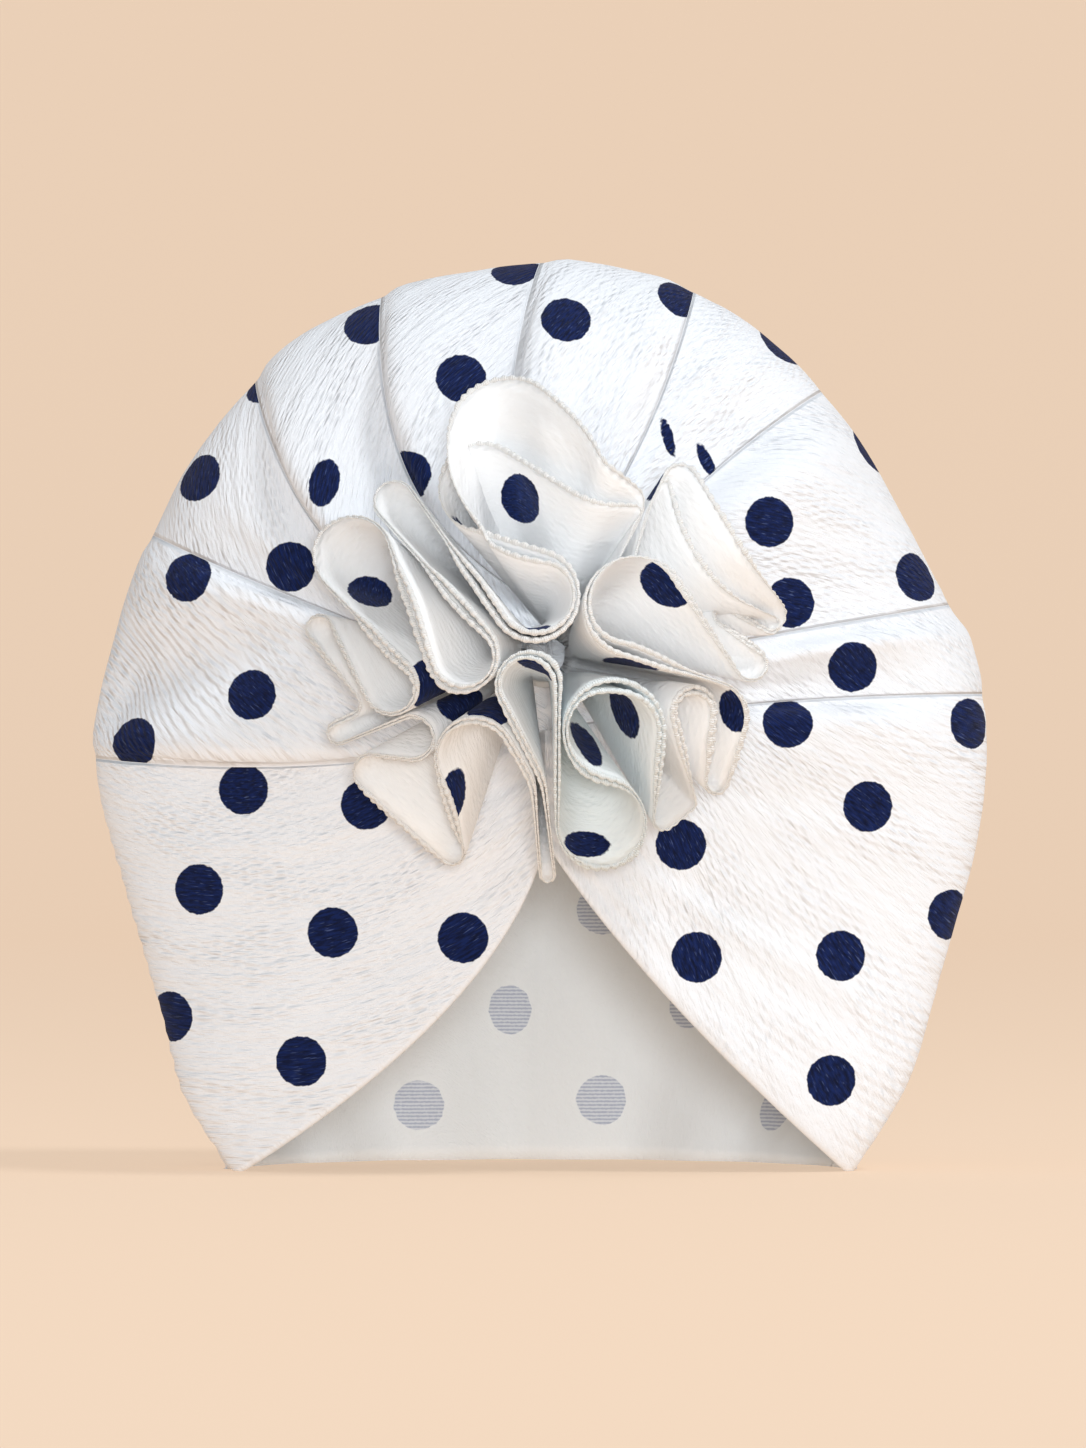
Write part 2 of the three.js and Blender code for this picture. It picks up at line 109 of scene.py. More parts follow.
# Rays of the cap: at, across, up, bowAcross, bowUp, lean
RAYS = np.array([
    [0, -0.678, 0, -0.089, 0.183, 1],
    [0.04, -0.783, 0.077, -0.211, 0.232, 0.85],
    [0.08, -0.839, 0.17, -0.311, 0.275, 0.66],
    [0.14, -0.922, 0.308, -0.4, 0.352, 0.42],
    [0.2, -0.994, 0.451, -0.456, 0.423, 0.22],
    [0.24, -0.95, 0.577, -0.489, 0.522, 0.12],
    [0.28, -0.867, 0.698, -0.511, 0.61, 0.05],
    [0.32, -0.772, 0.786, -0.544, 0.615, 0.02],
    [0.36, -0.639, 0.868, -0.544, 0.615, 0],
    [0.395, -0.517, 0.923, -0.511, 0.654, 0],
    [0.43, -0.356, 0.962, -0.4, 0.72, 0],
    [0.465, -0.189, 0.986, -0.278, 0.786, 0],
    [0.5, 0, 1, -0.133, 0.824, 0],
    [0.535, 0.183, 0.992, 0.089, 0.819, 0],
    [0.57, 0.344, 0.967, 0.267, 0.802, 0],
    [0.605, 0.494, 0.923, 0.322, 0.797, 0],
    [0.64, 0.633, 0.857, 0.367, 0.775, 0],
    [0.68, 0.789, 0.736, 0.444, 0.703, 0.02],
    [0.72, 0.917, 0.621, 0.511, 0.593, 0.05],
    [0.76, 0.967, 0.574, 0.522, 0.555, 0.12],
    [0.8, 0.989, 0.522, 0.511, 0.522, 0.22],
    [0.86, 0.978, 0.374, 0.444, 0.407, 0.42],
    [0.92, 0.889, 0.214, 0.367, 0.308, 0.66],
    [0.96, 0.817, 0.099, 0.311, 0.247, 0.85],
    [1, 0.694, 0, 0.244, 0.197, 1],
])
ACROSS, UP, BOW_ACROSS, BOW_UP, LEAN = range(1, 6)

# Pleats: at, over, rise, reach, starts, back, and the width of the fold's lip. They rise more than in
# the part, with rounder lips, and fade more at the outline. The soft valleys on the right have wide lips.
PLEATS = [
    (0.2, 1, 1.1, 0.07, 0.3, 0.45, 0.009),
    (0.28, -1, 1, 0.065, 0.3, 0.4, 0.012),
    (0.36, 1, 1.3, 0.06, 0.28, 0.35, 0.012),
    (0.43, 1, 1.3, 0.055, 0.3, 0.4, 0.01),
    (0.5, 1, 1.2, 0.055, 0.28, 0.45, 0.011),
    (0.57, -1, 0.9, 0.045, 0.3, 0.25, 0.018),
    (0.64, 1, 1.5, 0.07, 0.3, 0.45, 0.024),
    (0.72, 1, 1.2, 0.06, 0.35, 0.3, 0.03),
    (0.8, 1, 0.9, 0.08, 0.3, 0.4, 0.016),
]
SHARP_LIP = 0.009
DIP = 0.65
DIP_REACH = 0.85
PLEAT_OPENS_OVER = 0.3
RISE_AT_OUTLINE = 0.15
FADE_STARTS = 0.7
# How far the folded lip rolls out over the cloth below it, and tucks in under itself, and where on the
# lip the roll begins and the tuck ends
LIP_ROLL = 0.35
LIP_TUCK = 0.25
ROLL_BEGINS = 0.3
TUCK_ENDS = 0.4

# The flower's turns: across, up, bend, way, lift, standOff
TURNS = np.array([
    [0.34, 0.4, 0.03, -1, -0.16, 0],
    [0.375, 0.6, 0.03, 1, 0.02, 0.02],
    [0.285, 0.935, 0.3, -1, 0.1, 0.24],
    [-0.256, 0.7, 0.193, 1, 0, 0.065],
    [-0.042, 0.247, 0.172, -1, 0.05, 0.02],
    [-0.635, 0.65, 0.085, 1, -0.06, 0.01],
    [-0.343, -0.004, 0.138, -1, 0.04, 0.01],
    [-0.81, 0.42, 0.165, 1, 0.02, 0.03],
    [-0.645, -0.135, 0.11, -1, 0.02, 0.02],
    [-0.95, 0.115, 0.055, 1, -0.05, 0.01],
    [-0.82, -0.205, 0.046, -1, -0.12, 0],
    [-0.871, -0.327, 0.044, 1, 0, 0.01],
    [-0.555, -0.345, 0.09, -1, -0.06, 0.01],
    [-0.73, -0.49, 0.075, 1, 0, 0.02],
    [-0.39, -0.83, 0.05, 1, 0.02, 0.02],
    [-0.295, -0.43, 0.16, -1, 0.02, 0.02],
    [-0.32, -0.62, 0.275, -1, 0, 0.09],
    [0.01, -0.925, 0.03, 1, -0.02, 0.02],
    [-0.32, -0.62, 0.322, 1, 0, 0.01],
    [-0.072, -0.125, 0.125, -1, 0.04, 0.01],
    [0.235, -0.705, 0.185, 1, 0.04, 0.03],
    [0.285, -0.32, 0.2, -1, 0.04, 0.02],
    [0.5, -0.69, 0.045, 1, -0.04, 0.01],
    [0.6, -0.62, 0.035, 1, -0.04, 0.01],
    [0.62, -0.23, 0.085, -1, -0.02, 0.01],
    [0.722, -0.535, 0.046, 1, 0, 0.02],
    [0.7, -0.256, 0.145, 1, 0.04, 0.04],
    [0.375, 0.21, 0.2, -1, 0.08, 0.02],
    [0.867, -0.038, 0.067, 1, -0.04, 0.01],
    [0.74, 0.17, 0.035, -1, -0.22, 0],
    [0.955, 0.135, 0.035, 1, -0.04, 0],
    [1.14, 0.745, 0.6, -1, 0, 0.24],
    [0.497, 0.705, 0.035, 1, 0, 0.1],
])
T_ACROSS, T_UP, T_BEND, T_WAY, T_LIFT, T_STAND = range(6)

# Where the back ply leans away with open air behind it: the turns between which it does, how far in
# flower radii, and the direction that it leans in
OPEN_PARTS = [
    (0.7, 3.4, 0.27, (0.22, 0.975)),
    (29.9, 32.4, 0.17, (0.75, 0.66)),
]

# The camera, in the formulas' frame
CAMERA_PLACE = (0.6, -2400.0, 88.0)
CAMERA_LENS = 300
SENSOR_LONG_SIDE = 36

DOT_RADIUS = 5.0
# How much of the depth between two places counts, where cloth that was printed flat curves away
DOT_DEPTH = 0.5
# The distance kept where no dot is near, and what keeps a place from being picked as a dot's centre
FAR_FROM_DOTS = 20.0
OUT_OF_SIGHT = 1e3

# Printed dots on the cap's front, panel by panel: across, up as seen from the camera. A dot that a fold
# narrows also has its width and height as shares of a whole dot, and its lean in degrees.
WHOLE_DOT = (1, 1, 0)
CAP_DOTS = {
    0: [(-67.8, 55.1), (-41.2, 46.5), (-15.3, 45.5), (-47.5, 20.9), (-73.6, 29.8), (-59.0, 75.0),
        (-34.6, 72.0)],
    1: [(-80.9, 84.5), (-57.3, 93.8), (-70.2, 117.3)],
    2: [(-67.8, 137.0), (-54.7, 156.3), (-49.7, 119.3)],
    3: [(-34.2, 167.8), (-42.9, 136.0, 0.6, 1, -12)],
    4: [(-15.7, 156.7), (-4.8, 178.7), (-25.8, 137.6)],
    5: [(5.2, 168.6), (28.2, 172.8)],
    6: [(47.7, 163.0), (25.4, 145.1, 0.22, 0.9, 15), (33.0, 140.4, 0.25, 0.8, 25)],
    7: [(65.4, 142.5), (75.1, 117.3), (45.7, 128.2), (49.7, 112.1)],
    8: [(62.2, 99.4)],
    9: [(49.3, 88.3), (85.7, 88.1), (65.2, 71.6), (81.5, 50.1), (59.8, 41.9), (31.2, 41.6),
        (57.9, 17.1), (28.0, 64.0)],
}
# The print's staggered repeat on the back: its steps, rows and columns, how far a dot may miss the
# cloth, and how far it stays from a dot on the front
REPEAT_ACROSS = 37.2
REPEAT_UP = 19.5
REPEAT_START = (-24.9, 10.9)
REPEAT_ROWS = range(10)
REPEAT_COLUMNS = range(-3, 5)
REPEAT_MISS = 3.0
REPEAT_CLEAR = 16.0

# Printed dots on the flower: across, up, width, height, lean. A centre is picked from the places
# within DOT_PICK, and a dot reaches as far along the folded cloth as DOT_WRAP radii.
DOT_PICK = 1.2
DOT_WRAP = 2.4
FLOWER_DOTS = [
    (-4.2, 132.6, 0.85, 1, 15),
    (-14.6, 126.5, 0.4, 1.3, 35),
    (-32.8, 114.5, 0.9, 0.7, -10),
    (25.2, 114.7, 1.1, 0.85, -32),
    (-1.0, 107.0, 0.55, 0.35, 0),
    (10.3, 84.3, 0.4, 1.1, 28),
    (16.1, 90.0, 0.5, 1.1, 20),
    (37.9, 90.5, 0.6, 0.9, 10),
    (-17.9, 73.0, 0.5, 1.15, -12),
    (9.9, 64.0, 1.0, 0.5, -5),
    (-21.5, 95.4, 0.9, 1.1, 0),
    (-15.0, 92.5, 1, 0.8, 0),
    (-9.6, 92.0, 0.9, 0.8, 20),
    (24.6, 141.1, 1, 0.55, -30),
    (3.6, 97.5, 0.5, 0.9, -25),
    (17.9, 98.6, 1.3, 0.4, 0),
    (23.5, 136.2, 0.5, 0.9, -35),
]


def ease(x):
    x = np.clip(x, 0, 1)
    return x * x * (3 - 2 * x)


def smooth_noise(points, seed):
    """Smooth noise from -1 to 1 at points with three coordinates, the same on every run."""
    cell = np.floor(points).astype(np.int64)
    part = points - cell
    blend = part * part * (3 - 2 * part)
    total = np.zeros(points.shape[:-1])
    for corner in itertools.product((0, 1), repeat=3):
        c = cell + np.array(corner)
        mixed = (c[..., 0] * 73856093) ^ (c[..., 1] * 19349663) ^ (c[..., 2] * 83492791)
        mixed = (mixed ^ (seed * 9781)) & 0xFFFFFFFF
        mixed = ((mixed ^ (mixed >> 13)) * 1274126177) & 0xFFFFFFFF
        mixed = (mixed ^ (mixed >> 16)) & 0xFFFF
        weight = np.prod(np.where(corner, blend, 1 - blend), axis=-1)
        total += weight * (mixed / 32767.5 - 1)
    return total


def noise_plane(u, v, seed):
    u, v = np.broadcast_arrays(u, v)
    return smooth_noise(np.stack([u, v, np.full(u.shape, 0.5)], axis=-1), seed)


def unit(vectors):
    return vectors / np.maximum(np.linalg.norm(vectors, axis=-1, keepdims=True), 1e-9)


# The cap's base form

def ray_value(column, at):
    """A smooth curve through one column of RAYS."""
    places = RAYS[:, 0]
    values = RAYS[:, column]
    last = len(places) - 1
    k = np.clip(np.searchsorted(places, at, side="left") - 1, 0, last - 1)

    def slope(i):
        low = np.maximum(i - 1, 0)
        high = np.minimum(i + 1, last)
        return (values[high] - values[low]) / (places[high] - places[low])

    span = places[k + 1] - places[k]
    s = (at - places[k]) / span
    rise = s * s * (3 - 2 * s)
    bend = (1 - s) * slope(k) - s * slope(k + 1)
    return values[k] * (1 - rise) + values[k + 1] * rise + span * s * (1 - s) * bend


def hem_point(at):
    sweep = HEM_START + (math.pi - 2 * HEM_START) * at
    folds = np.sin(HEM_FOLD_COUNT * 2 * math.pi * at) * np.sin(math.pi * at)
    reach = HEM_BACK + HEM_TIP_SHARE * TIP_FORWARD
    x = -HEM_HALF_WIDTH * np.cos(sweep)
    y = HEM_BACK - reach + reach * np.sin(sweep) + HEM_FOLD_DEPTH * folds
    return x, y


def cap_point(at, way):
    """The smooth cap without its pleats: way 0 at the gather, 0.5 on the outline, 1 at the hem."""
    at, way = np.broadcast_arrays(at, way)
    half = CAP_WIDTH / 2
    out_x = ray_value(ACROSS, at) * half
    out_y = -ray_value(LEAN, at) * TIP_FORWARD
    out_z = ray_value(UP, at) * CAP_HEIGHT
    turn = np.minimum(way, 0.5) * math.pi
    s = np.sin(turn)
    seam = SEAM_LOW + (SEAM_HIGH - SEAM_LOW) * 2 * np.minimum(at, 1 - at)
    bow_x = ray_value(BOW_ACROSS, at) * half
    bow_z = ray_value(BOW_UP, at) * CAP_HEIGHT
    front = np.stack([
        (1 - s) ** 2 * SEAM_ACROSS + 2 * s * (1 - s) * bow_x + s * s * out_x,
        out_y - (FRONT_DEPTH + out_y) * np.cos(turn),
        (1 - s) ** 2 * seam + 2 * s * (1 - s) * bow_z + s * s * out_z,
    ], axis=-1)
    turn = np.maximum(way - 0.5, 0) * math.pi
    hem_x, hem_y = hem_point(at)
    drop = 1 - np.cos(turn)
    bulge = BACK_BULGE * np.sin(2 * turn) * np.sin(math.pi * at)
    back = np.stack([
        out_x + (hem_x - out_x) * drop,
        out_y + (hem_y - out_y) * np.sin(turn) + bulge,
        out_z * (1 - drop),
    ], axis=-1)
    return np.where((way <= 0.5)[..., None], front, back)


def cap_directions(at, way):
    """Unit vectors on the cap: round it, and out of it."""
    step = 1e-3
    round_it = cap_point(np.minimum(at + step, 1), way) - cap_point(np.maximum(at - step, 0), way)
    along = cap_point(at, np.minimum(way + step, 1)) - cap_point(at, np.maximum(way - step, 0))
    out = np.cross(round_it, along)
    at_grid, way_grid = np.broadcast_arrays(at, way)
    out[way_grid < ON_END] = (0, -1, 0)
    at_tips = ((at_grid < ON_END) | (at_grid > 1 - ON_END)) & (way_grid > 0.5 - ON_END)
    out[at_tips | (way_grid > 1 - ON_END), 2] = 0
    return unit(round_it), unit(out)


def pleat_shape(at, way):
    """How far the pleats lift the cloth, and how far their lips roll sideways, in millimetres."""
    at, way = np.broadcast_arrays(at, way)
    lift = np.zeros(at.shape)
    roll = np.zeros(at.shape)
    out_share = np.sin(np.minimum(way, 0.5) * math.pi)
    fade = 1 - (1 - RISE_AT_OUTLINE) * ease((out_share - FADE_STARTS) / (1 - FADE_STARTS))
    for place, over, share, reach, starts, back, lip in PLEATS:
        x = (at - place) * over
        opened = ease((out_share - starts) / PLEAT_OPENS_OVER)
        closed = 1 - ease((way - 0.5) / (0.5 * back))
        rise = PLEAT_RISE * share * opened * closed * fade
        upper = rise * (ease(x / lip) * (1 + DIP) - DIP) * (1 - ease(x / reach))
        lower = -DIP * rise * (1 - ease(-x / (DIP_REACH * reach)))
        lift += np.where(x > 0, upper, lower)
        s = np.clip(x / lip, 0, 1)
        tucked = np.clip(s / TUCK_ENDS, 0, 1)
        out_over = np.clip((s - ROLL_BEGINS) / (1 - ROLL_BEGINS), 0, 1)
        rolled = LIP_TUCK * np.sin(math.pi * tucked) - LIP_ROLL * np.sin(math.pi * out_over)
        roll += over * rise * rolled * (SHARP_LIP / lip) ** 2
    return lift, roll


def panel_of(at):
    """The panel between two creases, counted from the left flap's tip."""
    return np.searchsorted([pleat[0] for pleat in PLEATS], at, side="right")


def in_flaps(at):
    """Which columns lie in the first or the last panel, as one column of an array."""
    return np.isin(panel_of(at), (0, len(PLEATS)))[:, None]


def cap_columns():
    """Places of the mesh's columns, the same left and right. They are closer together at the creases,
    and a pair on each crease keeps the knit of one panel from running into the next."""
    fine = np.linspace(0, 0.5, 20001)
    density = np.ones(fine.shape)
    for pleat in PLEATS:
        density += CREASE_DENSITY * np.exp(-(((fine - pleat[0]) / CREASE_SPREAD) ** 2))
    total = np.concatenate([[0], np.cumsum((density[1:] + density[:-1]) / 2)])
    half = np.interp(np.linspace(0, total[-1], CAP_HALF_COLUMNS + 1), total, fine)[:-1]
    for pleat in PLEATS:
        if pleat[0] <= 0.5:
            half = half[np.abs(half - pleat[0]) > 4 * CREASE_SEAM]
            half = np.append(half, [pleat[0] - CREASE_SEAM, pleat[0] + CREASE_SEAM])
    half = np.sort(half[half < 0.5])
    return np.concatenate([half, [0.5], (1 - half)[::-1]])


def back_ways():
    """Places of the back's rows, drawn closer together where the cloth falls steeply to the hem."""
    share = np.linspace(0, 1, CAP_BACK_ROWS + 1)
    falling = np.arccos(1 - share) / (math.pi / 2)
    return 0.5 + 0.25 * (share + falling)


# The cloth's wrinkles. Each gives a height in millimetres
RIPPLE_START = -88
RIPPLE_BEND = 18
RIPPLE_SLOPE = 2.6
RIPPLE_LENGTH = 2.5
HOLLOW_UP = 102
HOLLOW_WIDTH = 9
HOLLOW_DEPTH = 4.5
FLAP_RIPPLE_LENGTH = 3.6
FLAP_RIPPLE_HEIGHT = 0.2
# Waves of slack cloth: height, length round the cap, length along it, seed
SLACK_WAVES = [
    (0.55, 26, 70, 31),
    (0.22, 9, 30, 32),
    (0.10, 3.2, 11, 33),
]
# How far above the hem the cloth lies still, and how much of the wrinkles the inner face follows
HEM_STILL = 0.02
INNER_FOLLOWS = 0.6

def gather_wrinkles(at, way):
    """Folds that run out from the gather and fade towards the outline."""
    near = 1 - ease((way - 0.08) / 0.34)
    coarse = noise_plane(at * 46, way * 3.0, 11)
    fine = noise_plane(at * 120, way * 4.5, 12)
    right = ease((at - 0.82) / 0.05)
    fan = noise_plane(at * 85, way * 2.2, 13) + 0.6 * noise_plane(at * 38, way * 1.6, 14)
    return near * (0.9 * coarse + 0.35 * fine) + right * 0.75 * fan * (1 - ease((way - 0.22) / 0.24))


def ripple_phase(base):
    """Which wave of the fine ripples a place lies on: they fall from the outline and bend inwards."""
    x, z = base[..., 0], base[..., 2]
    inwards = (x - RIPPLE_START) / RIPPLE_BEND
    fall = RIPPLE_SLOPE * RIPPLE_BEND * np.exp(-inwards) - 0.2 * (x - RIPPLE_START)
    warp = 1.6 * noise_plane(x / 13, z / 13, 21) + 0.6 * noise_plane(x / 5, z / 5, 23)
    return (z - fall + warp) / RIPPLE_LENGTH


def ripple_share(at, way, base):
    """How strong the ripples are: full in the panel between the first two creases."""
    x, z = base[..., 0], base[..., 2]
    inside = ease((at - 0.197) / 0.02) * (1 - ease((at - 0.262) / 0.022))
    along = ease((way - 0.1) / 0.14) * (1 - ease((way - 0.5) / 0.12))
    patchy = 0.7 + 0.3 * noise_plane(x / 9, z / 9, 22)
    return inside * along * patchy


def panel_hollow(at, way, base):
    """The hollow across the middle of the rippled panel, where its cloth hangs slack."""
    x, z = base[..., 0], base[..., 2]
    across = (z - HOLLOW_UP - 0.25 * (x + 60)) / HOLLOW_WIDTH
    inside = ease((at - 0.2) / 0.015) * (1 - ease((at - 0.268) / 0.012))
    along = ease((way - 0.14) / 0.12) * (1 - ease((way - 0.4) / 0.1))
    return -HOLLOW_DEPTH * np.exp(-across * across) * inside * along


def soft_folds(around, along):
    """Low soft waves of slack cloth all over."""
    waves = [
        height * noise_plane(around / round_length, along / out_length, seed)
        for height, round_length, out_length, seed in SLACK_WAVES
    ]
    return sum(waves)


def flap_ripples(at, base):
    """Close level ripples down the left flap's outer side."""
    warp = 1.5 * noise_plane(base[..., 0] / 18, base[..., 2] / 18, 41)
    wave = np.sin(2 * math.pi * (base[..., 2] + 0.25 * base[..., 0] + warp) / FLAP_RIPPLE_LENGTH)
    left = 1 - ease((at - 0.15) / 0.05)
    side = ease((-base[..., 0] - 48) / 22)
    return FLAP_RIPPLE_HEIGHT * wave * left * side


def cap_height(at, way, base, around, along):
    return (
        gather_wrinkles(at, way)
        + panel_hollow(at, way, base)
        + soft_folds(around, along)
        + flap_ripples(at, base)
    )


def cloth_lengths(points, columns):
    """Lengths on the cloth: round it from the middle of each panel, and out along each ray."""
    round_steps = np.linalg.norm(np.diff(points, axis=0), axis=-1)
    around = np.concatenate([np.zeros((1, points.shape[1])), np.cumsum(round_steps, axis=0)])
    ray_steps = np.linalg.norm(np.diff(points, axis=1), axis=-1)
    along = np.concatenate([np.zeros((points.shape[0], 1)), np.cumsum(ray_steps, axis=1)], axis=1)
    panels = panel_of(columns)
    for panel in np.unique(panels):
        members = np.flatnonzero(panels == panel)
        middle = members[len(members) // 2]
        around[members] -= around[middle].copy()
    return around, along


# How the knit's rows lie in each panel, in degrees from the ray
GRAIN_TURN = [62, 28, 35, 50, 60, 20, 15, 30, 40, 12]


def seam_share(at, reach):
    """0 on the lines where two panels meet, and 1 from the reach away from them."""
    apart = np.min([np.abs(at - pleat[0]) for pleat in PLEATS], axis=0)
    return np.clip((apart - CREASE_SEAM) / reach, 0, 1)


def knit_share(at, base):
    """How strong the knit's relief is: it dies out on the lines where two kinds of rows meet."""
    at_side = np.clip((np.abs(base[..., 1]) - SIDE_CLEAR) / SIDE_CLEAR, 0, 1)
    return seam_share(at, KNIT_CLEAR) * np.where(in_flaps(at[:, 0]), at_side, 1)


# In the right flap the rows fan out from a point above the flower, and in the left flap they sag in
# arcs below a point. Each centre is across and up, and FLAP_REACH is the distance at which lengths
# along an arc are real ones.
FAN_CENTRE = (0.6, 120.0)
SAG_CENTRE = (-62.0, 128.0)
FLAP_REACH = 75


def grain_coordinates(base, around, along, columns):
    """Lengths along the knit's rows and across them."""
    turn = np.radians(np.array(GRAIN_TURN)[panel_of(columns)])[:, None]
    a = around * np.sin(turn) + along * np.cos(turn)
    b = around * np.cos(turn) - along * np.sin(turn)
    on_front = in_flaps(columns) & (base[..., 1] < 0)
    right, left = on_front & (base[..., 0] > 0), on_front & (base[..., 0] <= 0)
    fan, sag = ring_coordinates(base, FAN_CENTRE), ring_coordinates(base, SAG_CENTRE)
    a = np.where(right, fan[0], np.where(left, sag[1], a))
    b = np.where(right, fan[1], np.where(left, sag[0], b))
    return a, b


def ring_coordinates(base, centre):
    """Distance from a centre, seen from the front, and length round it."""
    across, down = base[..., 0] - centre[0], centre[1] - base[..., 2]
    return np.hypot(across, down), np.arctan2(across, down) * FLAP_REACH


# Printed dots

def seen_from_front(points):
    """Places as the camera sees them, on the plane through the cap's widest line."""
    distance = -CAMERA_PLACE[1]
    scale = distance / (distance + points[..., 1])
    x = CAMERA_PLACE[0] + (points[..., 0] - CAMERA_PLACE[0]) * scale
    z = CAMERA_PLACE[2] + (points[..., 2] - CAMERA_PLACE[2]) * scale
    return x, z


def dot_distance(points, centre, wide, tall, lean):
    """Distance to one dot's edge. A narrowed dot is measured in its own leaning axes."""
    offset = (points - centre) * (1, DOT_DEPTH, 1)
    if wide == 1 and tall == 1:
        return np.linalg.norm(offset, axis=-1) - DOT_RADIUS
    turn = math.radians(lean)
    x = (offset[..., 0] * math.cos(turn) + offset[..., 2] * math.sin(turn)) / wide
    z = (-offset[..., 0] * math.sin(turn) + offset[..., 2] * math.cos(turn)) / tall
    share = np.sqrt(x * x + z * z + offset[..., 1] ** 2) / DOT_RADIUS
    return (share - 1) * DOT_RADIUS * min(wide, tall)


def cap_dot_field(points, columns):
    """Distance from each point of the cap to the edge of the nearest dot."""
    field = np.full(points.shape[:2], FAR_FROM_DOTS)
    panels = np.broadcast_to(panel_of(columns)[:, None], field.shape)
    x, z = seen_from_front(points)
    is_front = np.arange(points.shape[1])[None, :] <= CAP_FRONT_ROWS
    centres = []
    dots = [(panel, *dot) for panel, row in CAP_DOTS.items() for dot in row]
    for panel, across, up, *narrowed in dots:
        gap = np.hypot(x - across, z - up) + np.where(is_front, 0, OUT_OF_SIGHT)
        nearest = np.unravel_index(np.argmin(gap), gap.shape)
        centre = points[nearest].copy()
        centre[0] += across - x[nearest]
        centre[2] += up - z[nearest]
        centres.append(centre)
        distance = dot_distance(points, centre, *(narrowed or WHOLE_DOT))
        field = np.where(panels == panel, np.minimum(field, distance), field)
    return back_dot_field(points, field, centres)


def back_dot_field(points, field, centres):
    """Adds the staggered repeat on the back, clear of the dots that wrap round from the front."""
    taken = np.array(centres)
    back = points[:, CAP_FRONT_ROWS:]
    for row, column in itertools.product(REPEAT_ROWS, REPEAT_COLUMNS):
        across = REPEAT_START[0] + REPEAT_ACROSS * (column + 0.5 * (row % 2))
        up = REPEAT_START[1] + REPEAT_UP * row
        gap = np.hypot(back[..., 0] - across, back[..., 2] - up)
        centre = back[np.unravel_index(np.argmin(gap), gap.shape)]
        clear = np.linalg.norm(taken - centre, axis=1).min() >= REPEAT_CLEAR
        if clear and gap.min() <= REPEAT_MISS:
            field = np.minimum(field, np.linalg.norm(points - centre, axis=-1) - DOT_RADIUS)
    return field


# Meshes

def make_mesh(name, points, faces, values):
    """A piece in the part's frame. values are numbers kept on its points."""
    piece = link_mesh(name, ((np.asarray(points) + ORIGIN_SHIFT) * MM).tolist(), faces)
    for key, data in values.items():
        attribute = piece.data.attributes.new(key, "FLOAT", "POINT")
        attribute.data.foreach_set("value", np.asarray(data, dtype=np.float32))
    piece.data.update()
    return piece


def link_mesh(name, points, faces):
    """A smooth-shaded object in the scene, from places in metres."""
    mesh = bpy.data.meshes.new(name)
    mesh.from_pydata(points, [], faces)
    mesh.validate()
    mesh.polygons.foreach_set("use_smooth", np.ones(len(mesh.polygons), dtype=bool))
    return link(bpy.data.objects.new(name, mesh))


def link(made):
    bpy.context.scene.collection.objects.link(made)
    return made


def rim_between(outer, inner, outward):
    """Points of a round folded edge from the outer face to the inner one."""
    middle = (outer + inner) / 2
    arm = (outer - inner) / 2
    reach = np.linalg.norm(arm, axis=-1, keepdims=True)
    rows = []
    for k in range(1, RIM_POINTS):
        turn = math.pi * k / RIM_POINTS
        rows.append(middle + arm * math.cos(turn) + outward * reach * math.sin(turn))
    return rows


def cap_body():
    columns = cap_columns()
    ways = np.concatenate([np.linspace(0, 0.5, CAP_FRONT_ROWS + 1), back_ways()[1:]])
    at, way = columns[:, None], ways[None, :]
    base = cap_point(at, way)
    round_it, out = cap_directions(at, way)
    lift, roll = pleat_shape(at, way)
    around, along = cloth_lengths(base, columns)
    height = cap_height(at, way, base, around, along)
    height = height * ease((1 - way) / HEM_STILL) * seam_share(at, WRINKLE_CLEAR)
    outer = base + out * (lift + height)[..., None] + round_it * roll[..., None]
    inner = base + out * (np.minimum(lift, 0) + INNER_FOLLOWS * height - CAP_WALL)[..., None]
    outer[..., 2] = np.maximum(outer[..., 2], 0)
    inner[..., 2] = np.maximum(inner[..., 2], 0)
    grain_a, grain_b = grain_coordinates(base, around, along, columns)
    printed = {
        "dot": cap_dot_field(outer, columns),
        "grain_a": grain_a,
        "grain_b": grain_b,
        "knit_share": knit_share(at, base),
        "ripple": ripple_phase(base),
        "ripple_share": ripple_share(at, way, base),
    }
    return shell_piece("cap_cloth", outer, inner, round_it, printed)


def shell_piece(name, outer, inner, round_it, printed):
    """Joins the two faces of the cap with round edges along the flaps and the hem."""
    n, m = outer.shape[:2]
    points = [outer.reshape(-1, 3), inner.reshape(-1, 3)]
    values = {key: [data.ravel(), data.ravel()] for key, data in printed.items()}
    values["inside"] = [np.zeros(n * m), np.ones(n * m)]
    faces = []
    mirror = [min(j, n - 1 - j) for j in range(n)]

    def outer_id(j, k):
        return (mirror[j] if k == 0 else j) * m + k

    def inner_id(j, k):
        return n * m + outer_id(j, k)

    def add_face(*corners):
        face = list(dict.fromkeys(corners))
        if len(face) > 2:
            faces.append(face)

    for j, k in itertools.product(range(n - 1), range(m - 1)):
        square = [(j, k), (j + 1, k), (j + 1, k + 1), (j, k + 1)]
        add_face(*[outer_id(*corner) for corner in square])
        add_face(*[inner_id(*corner) for corner in square[:1] + square[:0:-1]])
    add_rim(points, values, faces, outer, inner, round_it, printed)
    joined = {key: np.concatenate(data) for key, data in values.items()}
    return make_mesh(name, np.concatenate(points), faces, joined)


